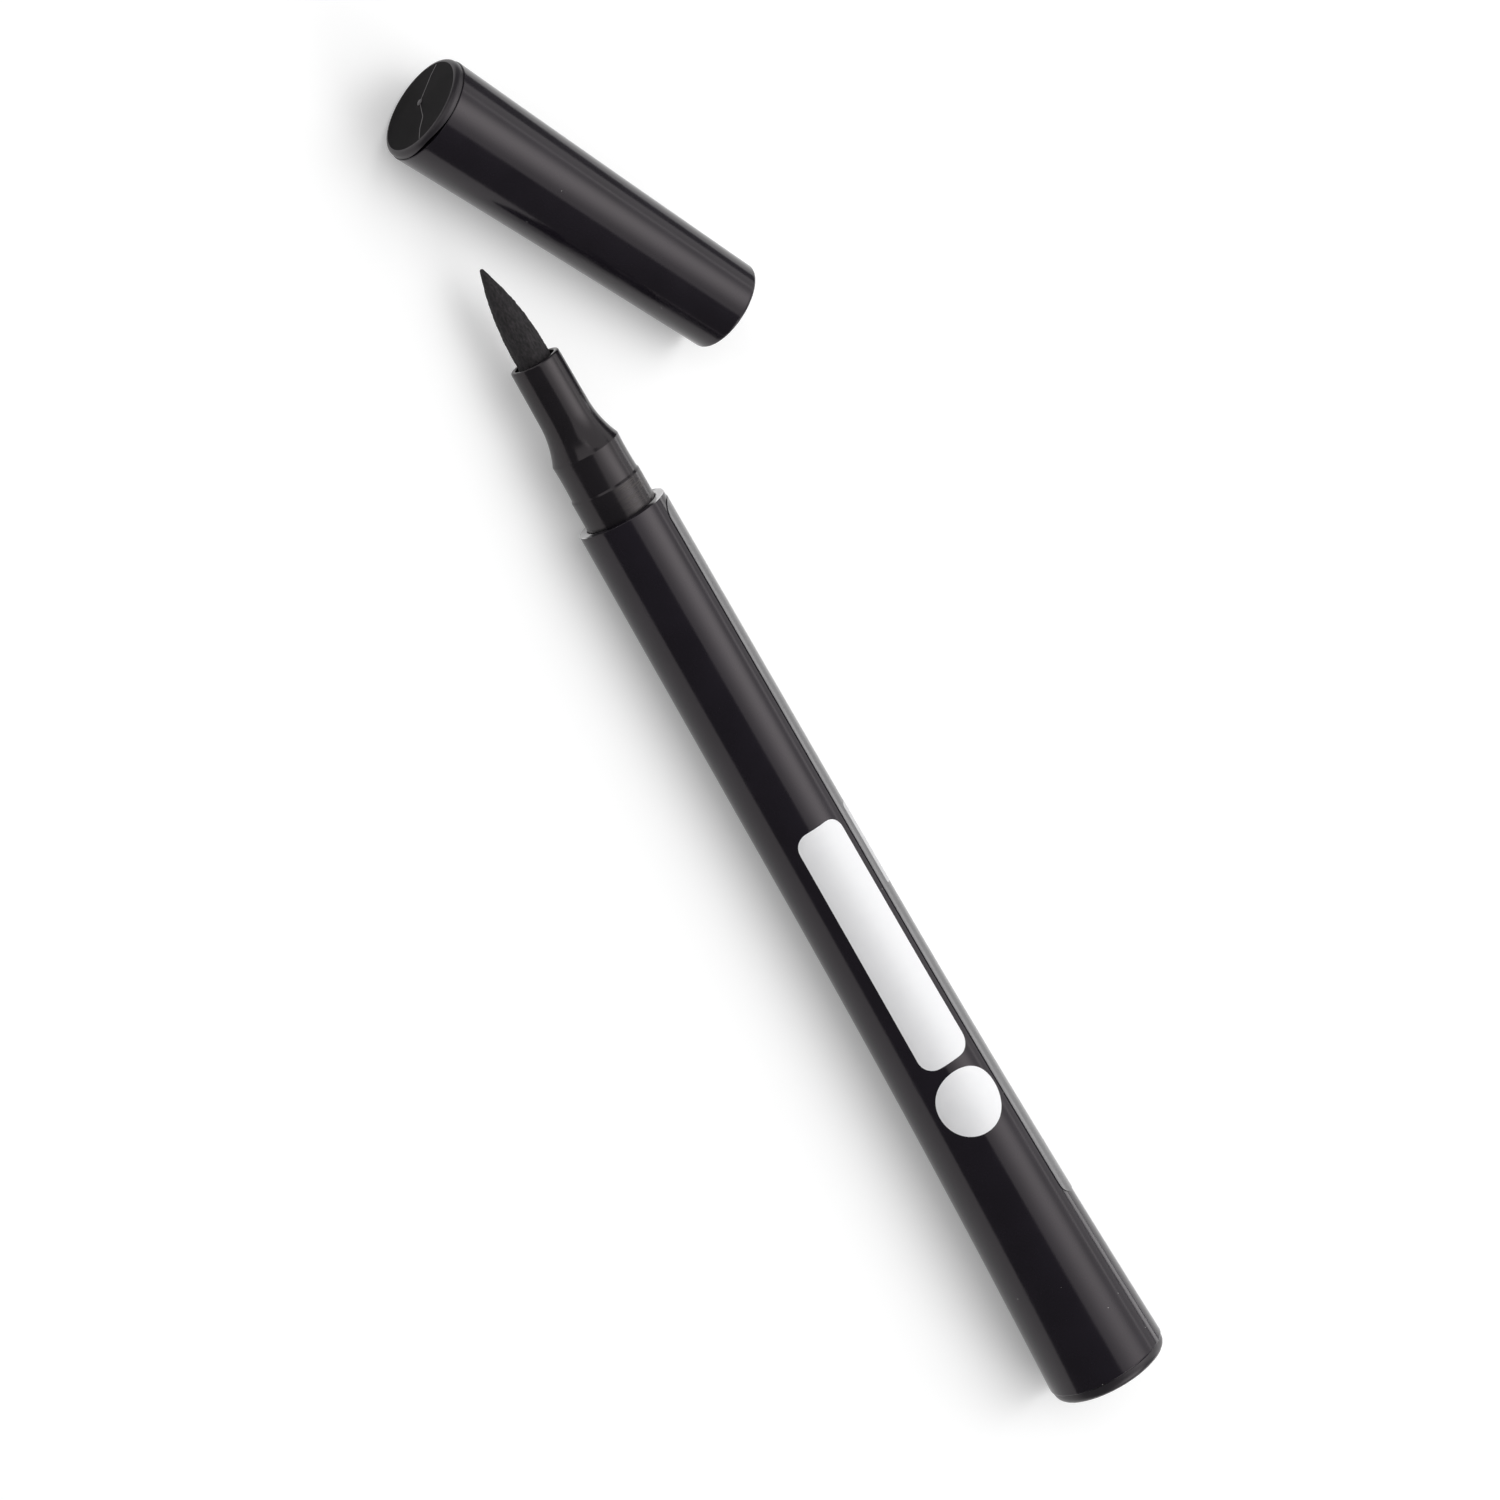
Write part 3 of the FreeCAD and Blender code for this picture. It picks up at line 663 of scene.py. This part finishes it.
cap_outline = [(cap_mouth_x, cap_sweep_radius(cap_mouth_x), CAP_RIM_ROUNDING)]
cap_outline += [(x, cap_sweep_radius(x), 0) for x in stations(cap_mouth_x, cap_seam_x, CAP_SWEEP_RINGS)]
cap_outline += [
    (cap_seam_x, cap_end_radius, CAP_SEAM_ROUNDING),
    (cap_seam_x, cap_end_radius - END_SEAT_WALL, 0),
    (end_seat_x, cap_end_radius - END_SEAT_WALL, 0),
    (end_seat_x, cap_pocket_radius, 0),
    (cap_pocket_x, cap_pocket_radius, 0),
    (cap_pocket_x, cap_bore_radius, 0),
    (cap_mouth_x - CAP_MOUTH_LEAD, cap_bore_radius, 0),
    (cap_mouth_x, cap_bore_radius + CAP_MOUTH_LEAD, 0),
]
set_down(spin_outline(cap_outline, closed=True), "cap_tube", cap_place, "cap",
         cap_black, "cap_shell")

# %% [markdown]
# ## The cap's end plug
#
# A disc closes the cap. Its edge is rounded over and stands a hair inside the shell, so a dark seam runs
# round it. At one side the edge is lifted, and the seam opens to a slit. Near the middle a pale nub is
# left of the gate, where the plastic was fed into the mould, and from it a hair-fine flow line runs to
# both sides, where the plastic met again. The line is a strip of small faces moved onto its path, and the
# nub is a flattened ball.

# %% The end plug
END_ROUND_SHARE = 0.6
END_EDGE_SHARE = 0.05
END_SKIRT_LENGTH = 2.6 * MM
END_SKIRT_TAPER = 0.08 * MM
LIFTED_ANGLE = math.radians(312)
LIFTED_SIDE = Vector((0, math.sin(LIFTED_ANGLE), math.cos(LIFTED_ANGLE)))
LIFTED_SPAN = math.radians(42)
EDGE_LIFT = 0.3 * MM
EDGE_DEPTH = 0.1 * MM
end_radius = calliper("cap_end_plug", cap_place)[2]
end_skirt_radius = cap_end_radius - END_SEAT_WALL - FIT_GAP
end_outline = [
    (0, 0, 0),
    (0, end_radius, END_ROUND_SHARE * cap_seam_x),
    (cap_seam_x, end_radius, END_EDGE_SHARE * cap_seam_x),
    (cap_seam_x, end_skirt_radius, 0),
    (cap_seam_x + END_SKIRT_LENGTH, end_skirt_radius - END_SKIRT_TAPER, 0),
    (cap_seam_x + END_SKIRT_LENGTH, 0, 0),
]
end_bm = spin_outline(end_outline)
for vertex in end_bm.verts:
    out = Vector((0, vertex.co.y, vertex.co.z))
    if vertex.co.x > cap_seam_x - EDGE_DEPTH and out.length > end_radius - EDGE_DEPTH:
        share = max(1 - out.angle(LIFTED_SIDE) / LIFTED_SPAN, 0)
        vertex.co.x -= EDGE_LIFT * math.sin(share * math.pi / 2) ** 2
set_down(end_bm, "cap_end_plug_turned", cap_place, "cap", plug_black, "cap_end_plug")

# %% The matt flat of the end plug
disc_matt = gloss_black("end_disc_black", tone=(0.006, 0.0052, 0.006), gloss=(0.5, 0.6),
                        dust_speck=0.03 * MM, shine=0.05)
FLAT_INSET_SHARE = 0.58
FLAT_THICKNESS = 0.006 * MM
FLAT_LIFT = 0.002 * MM
flat_bm = bmesh.new()
bmesh.ops.create_circle(flat_bm, cap_ends=True, segments=ROUND_STEPS,
                        radius=end_radius - FLAT_INSET_SHARE * cap_seam_x)
bmesh.ops.rotate(flat_bm, cent=(0, 0, 0), matrix=Matrix.Rotation(-math.pi / 2, 3, "Y"), verts=flat_bm.verts)
bmesh.ops.solidify(flat_bm, geom=flat_bm.faces[:], thickness=FLAT_THICKNESS)
bmesh.ops.translate(flat_bm, vec=(-FLAT_LIFT, 0, 0), verts=flat_bm.verts)
bmesh.ops.recalc_face_normals(flat_bm, faces=flat_bm.faces)
set_down(flat_bm, "end_plug_disc", cap_place, "cap", disc_matt)

# %% The gate nub and the flow line
GATE_SPOT = Vector((0.4 * MM, -0.39 * MM))
FLOW_LINE = [(4.35, -0.43), (3.26, -0.56), (1.69, -0.45), (0.4, -0.39),
             (-1.28, 1.36), (-2.51, 1.77), (-3.7, 2.5)]
FLOW_STEPS = 60
FLOW_WIDTH = 0.09 * MM
FLOW_LIFT = 0.01 * MM
FLOW_THICKNESS = 0.008 * MM
NUB_RADIUS = 0.26 * MM
NUB_SHAPE = (0.6, 1.3, 1)


def along_flow(share):
    """A spot on the flow line, from 0 at one end to 1 at the other."""
    step = min(int(share * (len(FLOW_LINE) - 1)), len(FLOW_LINE) - 2)
    first, second = (Vector(spot) * MM for spot in FLOW_LINE[step:step + 2])
    return first.lerp(second, share * (len(FLOW_LINE) - 1) - step)


marks_bm = bmesh.new()
bmesh.ops.create_grid(marks_bm, x_segments=FLOW_STEPS, y_segments=1, size=0.5)
for vertex in marks_bm.verts:
    spot = along_flow(vertex.co.x + 0.5)
    vertex.co = (-FLOW_LIFT, spot.x, spot.y + FLOW_WIDTH * vertex.co.y)
bmesh.ops.recalc_face_normals(marks_bm, faces=marks_bm.faces)
bmesh.ops.solidify(marks_bm, geom=marks_bm.faces[:], thickness=FLOW_THICKNESS)
nub = bmesh.ops.create_icosphere(marks_bm, subdivisions=3, radius=NUB_RADIUS)
bmesh.ops.scale(marks_bm, vec=NUB_SHAPE, verts=nub["verts"])
bmesh.ops.translate(marks_bm, vec=(0, GATE_SPOT.x, GATE_SPOT.y), verts=nub["verts"])
bmesh.ops.recalc_face_normals(marks_bm, faces=marks_bm.faces)
torn_black = gloss_black("torn_black", tone=(0.14, 0.136, 0.14), gloss=(0.4, 0.5),
                         dust_speck=0.02 * MM)
set_down(marks_bm, "end_plug_marks", cap_place, "cap", torn_black)

# %% [markdown]
# ## The pieces that stay solids of the frame
#
# The fibre bundle, its film wrap and the cap's seal liner are closed in. They keep the frame's own meshes
# and only get a finish.

# %% Finishes of the closed-in pieces
GRAIN_EDGE = (0.35, 0.65)
MATT_DRIFT = 0.1


def plain_grain(name, pale, dark, roughness, per_metre):
    """A matt finish with a visible grain."""
    finish, shader, coords = start_finish(name, roughness)
    spots = add_noise(finish, coords, per_metre, detail=4)
    mixed = add_blend(finish, add_range(finish, spots, *GRAIN_EDGE, 0, 1), dark, pale)
    matt = add_range(finish, spots, *CLOUD_MIDDLE, roughness, roughness + MATT_DRIFT)
    join(finish, mixed, shader.inputs["Base Color"])
    join(finish, matt, shader.inputs["Roughness"])
    return finish


closed_in = {
    "ink_reservoir": plain_grain("ink_fibre", pale=(0.025, 0.024, 0.026), dark=(0.01, 0.01, 0.011),
                                 roughness=0.8, per_metre=4000),
    "reservoir_wrap": plain_grain("wrap_film", pale=(0.75, 0.75, 0.76), dark=(0.6, 0.6, 0.62),
                                  roughness=0.3, per_metre=900),
    "inner_cap": plain_grain("liner_black", pale=(0.028, 0.027, 0.028), dark=(0.02, 0.019, 0.02),
                             roughness=0.5, per_metre=1500),
}
for node, finish in closed_in.items():
    frame["nodes"][node].data.materials.clear()
    frame["nodes"][node].data.materials.append(finish)
print("closed in:", sorted(closed_in))

# %% [markdown]
# ## Patches wrapped on the barrel
#
# The label and the white print are flat shapes bent round the barrel. Each is drawn flat: a grid of one
# face with its corners rounded by a vertex bevel, or a circle. It is then sliced with bisect_plane so that
# it can bend, and every point is laid on the barrel: its x is the place along the pen, and its y is an
# arc, counted at the middle of the patch. Solidify gives the film or the ink its thickness.

# %% Wrapping
CORNER_STEPS = 8
ARC_SLICE = 0.25 * MM
LENGTH_SLICE = 2 * MM


def rounded_rectangle(length, width, corner_radius):
    """A flat face with rounded corners, in the middle of the xy plane."""
    bm = bmesh.new()
    bmesh.ops.create_grid(bm, x_segments=1, y_segments=1, size=0.5)
    bmesh.ops.scale(bm, vec=(length, width, 1), verts=bm.verts)
    bmesh.ops.bevel(bm, geom=bm.verts[:], offset=corner_radius, offset_type="OFFSET", segments=CORNER_STEPS,
                    profile=ROUND_PROFILE, affect="VERTICES", material=-1)
    return bm


def slice_flat(bm, way, gap):
    """Cuts a flat face by evenly spaced planes square to a direction."""
    reach = [vertex.co.dot(way) for vertex in bm.verts]
    count = int((max(reach) - min(reach)) / gap)
    for spot in stations(min(reach), max(reach), count):
        bmesh.ops.bisect_plane(bm, geom=bm.verts[:] + bm.edges[:] + bm.faces[:], dist=NEAR,
                               plane_co=way * spot, plane_no=way)


def wrap(bm, middle_x, middle_angle, lift, thickness):
    """Lays a flat face round the barrel, at an angle from the top, and thickens it outwards."""
    slice_flat(bm, Vector((0, 1, 0)), ARC_SLICE)
    slice_flat(bm, Vector((1, 0, 0)), LENGTH_SLICE)
    arc_radius = sweep_radius(middle_x)
    for vertex in bm.verts:
        x = middle_x + vertex.co.x
        angle = middle_angle + vertex.co.y / arc_radius
        radius = sweep_radius(x) + lift
        vertex.co = (x, -radius * math.sin(angle), radius * math.cos(angle))
    for face in bm.faces:
        face.normal_update()
        middle = face.calc_center_median()
        if face.normal.dot(Vector((0, middle.y, middle.z))) < 0:
            face.normal_flip()
    bmesh.ops.solidify(bm, geom=bm.faces[:], thickness=-thickness)
    bmesh.ops.recalc_face_normals(bm, faces=bm.faces)


# %% [markdown]
# ## The label
#
# A film label goes half-way round the underside, from just behind the rim. From above only one long edge
# of it shows, as a fine dark line near the right side, with the glossier film beyond it. The film's grey
# is partly its own tone and partly a painted sheen, which lightens the strip beyond the edge.

# %% The label
RIPPLES_PER_METRE = 400
FILM_AND_PAINTED_SHEEN_TONES = ((0.085, 0.083, 0.087), (0.1, 0.097, 0.101))


def label_film(name):
    """Gloss black film with a slow ripple of the glue under it; its grey is partly a painted sheen."""
    finish, shader, coords = start_finish(name, 0.14)
    ripple = add_noise(finish, coords, RIPPLES_PER_METRE, detail=2)
    # The film's tones are partly its own grey and partly a painted sheen.
    join(finish, add_blend(finish, ripple, *FILM_AND_PAINTED_SHEEN_TONES), shader.inputs["Base Color"])
    join(finish, add_range(finish, ripple, *CLOUD_MIDDLE, 0.1, 0.2), shader.inputs["Roughness"])
    add_bump(finish, shader, ripple, strength=0.15, depth=0.05 * MM)
    return finish


LABEL_THICKNESS = 0.07 * MM
LABEL_CORNER = 1.6 * MM
GLUE_LIFT = 0.005 * MM
LABEL_ANGLES = (math.radians(27), math.radians(207))
LABEL_FRONT_GAP = 0.7 * MM
LABEL_BACK_GAP = 16.65 * MM
label_front_x = rim_x - LABEL_FRONT_GAP
label_back_x = seam_x + LABEL_BACK_GAP
label_x = (label_front_x + label_back_x) / 2
label_width = (LABEL_ANGLES[1] - LABEL_ANGLES[0]) * sweep_radius(label_x)
label_black = label_film("label_gloss_film")
label_bm = rounded_rectangle(label_front_x - label_back_x, label_width, LABEL_CORNER)
wrap(label_bm, label_x, sum(LABEL_ANGLES) / 2, GLUE_LIFT, LABEL_THICKNESS)
set_down(label_bm, "back_label_film", pen_place, "pen", label_black)

# %% [markdown]
# ## The white print
#
# Two white shapes are screen-printed on the upper side: a long panel with rounded corners and a disc
# behind it. They are kept bare. Ink lies on the plastic as a skin with a soft edge to its gloss, so it is
# a thin wrapped patch with a semi-gloss white that is not quite even. A third shape, a grey rectangle
# with the same semi-gloss finish, lies on the label, low at the right side, as a thin wrapped patch too.

# %% The white ink
CLOUDS_PER_METRE = 700
SCREEN_PER_METRE = 6000


def semi_gloss_pale(name, thin, dense):
    """A semi-gloss pale finish, slightly uneven between a thin and a dense tone, as screen-printed white is.
    """
    finish, shader, coords = start_finish(name, 0.4)
    cloud = add_noise(finish, coords, CLOUDS_PER_METRE, detail=4)
    join(finish, add_blend(finish, cloud, thin, dense), shader.inputs["Base Color"])
    join(finish, add_range(finish, cloud, *CLOUD_MIDDLE, 0.32, 0.46), shader.inputs["Roughness"])
    screen = add_noise(finish, coords, SCREEN_PER_METRE, detail=2)
    add_bump(finish, shader, screen, strength=0.12, depth=0.01 * MM)
    return finish


print_white = semi_gloss_pale("print_white_ink", thin=(0.86, 0.86, 0.875), dense=(0.91, 0.91, 0.92))
# The same semi-gloss finish, in grey, makes the pale patch on the label.
patch_grey = semi_gloss_pale("label_patch_grey", thin=(0.5, 0.5, 0.51), dense=(0.58, 0.58, 0.59))
print("inks:", print_white.name, "and", patch_grey.name)

# %% The printed panel
INK_LIFT = 0.004 * MM
INK_THICKNESS = 0.016 * MM
PANEL_ENDS = (35.35 * MM, 60.85 * MM)
PANEL_LENGTH = 25.5 * MM
PANEL_CORNER = 1.5 * MM
PANEL_SPAN = math.radians(64)
PANEL_ANGLE = math.radians(-14.4)
panel_x = sum(PANEL_ENDS) / 2
panel_bm = rounded_rectangle(PANEL_LENGTH, PANEL_SPAN * sweep_radius(panel_x), PANEL_CORNER)
wrap(panel_bm, panel_x, PANEL_ANGLE, INK_LIFT, INK_THICKNESS)
set_down(panel_bm, "print_panel", pen_place, "pen", print_white)

# %% The printed disc
DISC_X = 31.15 * MM
DISC_RADIUS = 3.3 * MM
DISC_STEPS = 96
DISC_ANGLE = math.radians(-17)
disc_bm = bmesh.new()
bmesh.ops.create_circle(disc_bm, cap_ends=True, segments=DISC_STEPS, radius=DISC_RADIUS)
wrap(disc_bm, DISC_X, DISC_ANGLE, INK_LIFT, INK_THICKNESS)
set_down(disc_bm, "print_disc", pen_place, "pen", print_white)

# %% The patch on the label
PATCH_ENDS = (52.2 * MM, 60.8 * MM)
PATCH_LENGTH = 8.6 * MM
PATCH_CORNER = 0.3 * MM
PATCH_ANGLES = (math.radians(41), math.radians(92))
PATCH_THICKNESS = 0.012 * MM
patch_x = sum(PATCH_ENDS) / 2
patch_width = (PATCH_ANGLES[1] - PATCH_ANGLES[0]) * sweep_radius(patch_x)
patch_bm = rounded_rectangle(PATCH_LENGTH, patch_width, PATCH_CORNER)
wrap(patch_bm, patch_x, sum(PATCH_ANGLES) / 2, LABEL_THICKNESS + GLUE_LIFT, PATCH_THICKNESS)
set_down(patch_bm, "label_patch", pen_place, "pen", patch_grey)

# %% [markdown]
# ## The table and the light
#
# The photograph is a catalogue picture: a white ground and soft light. On black gloss the light is what
# gives the form. A softbox hangs over the right side, brightest round its bulb, and draws the broad streak
# that fades to both sides. Its far edge is the line where the streak begins on the left. A dim panel and
# a low strip on the right draw the line along that edge. Two lamps off the ends of the pen light the print
# and the ground without showing in the barrel, since a long cylinder only mirrors what lies beside it. The
# ground is a white card a little larger than the picture.

# %% The table
CARD_GRAIN_PER_METRE = 40
CARD_TONES = ((0.84, 0.84, 0.84), (0.86, 0.86, 0.86))
CARD_GLOW = 0.24

def white_table(name, glow):
    """A white ground that keeps its shadow and looks white to the camera and in reflections."""
    finish, shader, coords = start_finish(name, 0.9)
    grain = add_noise(finish, coords, CARD_GRAIN_PER_METRE, detail=3)
    join(finish, add_blend(finish, grain, *CARD_TONES), shader.inputs["Base Color"])
    path = add_node(finish, "ShaderNodeLightPath").outputs
    seen = add_math(finish, "MAXIMUM", path["Is Camera Ray"], path["Is Glossy Ray"])
    seen = add_math(finish, "MAXIMUM", seen, path["Is Transmission Ray"])
    shader.inputs["Specular IOR Level"].default_value = 0
    shader.inputs["Emission Color"].default_value = (1, 1, 1, 1)
    join(finish, add_range(finish, seen, 0, 1, 0, glow), shader.inputs["Emission Strength"])
    return finish


CARD_SIZE = (178 * MM, 156 * MM)
CARD_MIDDLE = (-4.6 * MM, 1.7 * MM)
CARD_TURN = math.radians(58)
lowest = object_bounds()[0][2]
card_bm = bmesh.new()
bmesh.ops.create_grid(card_bm, x_segments=1, y_segments=1, size=0.5)
bmesh.ops.scale(card_bm, vec=(*CARD_SIZE, 1), verts=card_bm.verts)
bmesh.ops.rotate(card_bm, cent=(0, 0, 0), matrix=Matrix.Rotation(CARD_TURN, 3, "Z"), verts=card_bm.verts)
bmesh.ops.translate(card_bm, vec=(*CARD_MIDDLE, lowest), verts=card_bm.verts)
card_mesh = bpy.data.meshes.new("white_card")
card_bm.to_mesh(card_mesh)
card_bm.free()
card_mesh.materials.append(white_table("card_white", CARD_GLOW))
card = bpy.data.objects.new("white_card", card_mesh)
bpy.context.scene.collection.objects.link(card)
print("card at", round(lowest / MM, 3), "mm")


# %% The light
def add_panel(name, spot, aim, size, radiance):
    """A soft panel lamp with its length along the pen, by how bright its face looks."""
    lamp = bpy.data.lights.new(name, "AREA")
    lamp.shape = "RECTANGLE"
    lamp.size, lamp.size_y = size
    lamp.energy = math.pi * size[0] * size[1] * radiance
    away = (Vector(spot) - Vector(aim)).normalized()
    along = (Vector((1, 0, 0)) - away * away.x).normalized()
    turned = Matrix((along, away.cross(along), away)).transposed().to_4x4()
    panel_lamp = bpy.data.objects.new(name, lamp)
    panel_lamp.matrix_world = Matrix.Translation(spot) @ turned
    bpy.context.scene.collection.objects.link(panel_lamp)


def add_softbox(name, spot, turn, size, hot_spot, reach, radiance):
    """A flat softbox overhead, brightest round a hot spot and even beyond its reach."""
    lamp = bpy.data.lights.new(name, "AREA")
    lamp.shape = "RECTANGLE"
    lamp.size, lamp.size_y = size
    lamp.energy = math.pi * size[0] * size[1]
    lamp.use_nodes = True
    here = add_node(lamp, "ShaderNodeNewGeometry").outputs["Position"]
    away = add_node(lamp, "ShaderNodeVectorMath", {0: here, 1: hot_spot}, operation="SUBTRACT").outputs[0]
    far = add_node(lamp, "ShaderNodeVectorMath", {0: away, 1: reach}, operation="DIVIDE").outputs[0]
    share = add_node(lamp, "ShaderNodeVectorMath", {0: far}, operation="LENGTH").outputs["Value"]
    links = {"Value": share, "To Min": radiance[0], "To Max": radiance[1]}
    fade = add_node(lamp, "ShaderNodeMapRange", links, interpolation_type="SMOOTHSTEP").outputs["Result"]
    join(lamp, fade, lamp.node_tree.nodes["Emission"].inputs["Strength"])
    box = bpy.data.objects.new(name, lamp)
    box.matrix_world = Matrix.Translation(spot) @ Matrix.Rotation(turn, 4, "Z")
    bpy.context.scene.collection.objects.link(box)


add_softbox("key_box", spot=(-0.095, -0.753, 0.9), turn=math.radians(28), size=(2.0, 1.9),
            hot_spot=(-0.15, -0.52, 0.9), reach=(0.45, 0.75, 1), radiance=(3.25, 0.96))
add_panel("side_panel", spot=(-0.2, -1.0, 0.36), aim=(-0.2, 0, 0), size=(1.6, 0.4), radiance=0.93)
add_panel("side_strip", spot=(-0.45, -0.9, 0), aim=(-0.45, 0, 0), size=(0.8, 0.18), radiance=2.4)
add_panel("ahead_fill", spot=(0.9, 0.45, 0.6), aim=(0, 0, 0), size=(1.1, 1.1), radiance=1.0)
add_panel("behind_fill", spot=(-0.95, -0.1, 0.45), aim=(0, 0, 0), size=(0.6, 0.6), radiance=2.5)
WORLD_STRENGTH = 0.16
world = bpy.data.worlds.new("studio")
world.use_nodes = True
background = world.node_tree.nodes["Background"]
background.inputs["Color"].default_value = (1, 1, 1, 1)
background.inputs["Strength"].default_value = WORLD_STRENGTH
bpy.context.scene.world = world
print("lamps:", [each.name for each in bpy.data.lights])

# %% [markdown]
# ## The camera
#
# The camera stands ahead of the pen's rim, on the side away from the cap, high up and a good arm's length
# away, and is turned so that the nib points to the upper left. The picture is square. The place, the aim
# and the roll were found by fitting the outlines of the pen and the cap to the photograph.

# %% The camera
AHEAD_OF_RIM = 141.87 * MM
ASIDE_OF_RIM = 309.76 * MM
CAMERA_HEIGHT = 549.73 * MM
PICTURE_ANGLE = math.radians(12.0124)
rim_spot = pen_place @ Vector((rim_x, 0, 0))
camera_spot = Vector((rim_spot.x + AHEAD_OF_RIM, rim_spot.y + ASIDE_OF_RIM, CAMERA_HEIGHT))
camera_right = Vector((-0.4725, -0.6967, 0.5398)).normalized()
camera_back = Vector((0.2573, 0.4768, 0.8405)).normalized()
camera_up = camera_back.cross(camera_right).normalized()
camera_right = camera_up.cross(camera_back)
lens = bpy.data.cameras.new("photo_camera")
lens.sensor_fit = "HORIZONTAL"
lens.angle = PICTURE_ANGLE
lens.clip_end = 10
camera = bpy.data.objects.new("photo_camera", lens)
turn = Matrix((camera_right, camera_up, camera_back)).transposed().to_4x4()
camera.matrix_world = Matrix.Translation(camera_spot) @ turn
bpy.context.scene.collection.objects.link(camera)
bpy.context.scene.camera = camera
bpy.context.scene.view_settings.view_transform = "Standard"
print("camera at", [round(value, 4) for value in camera_spot])
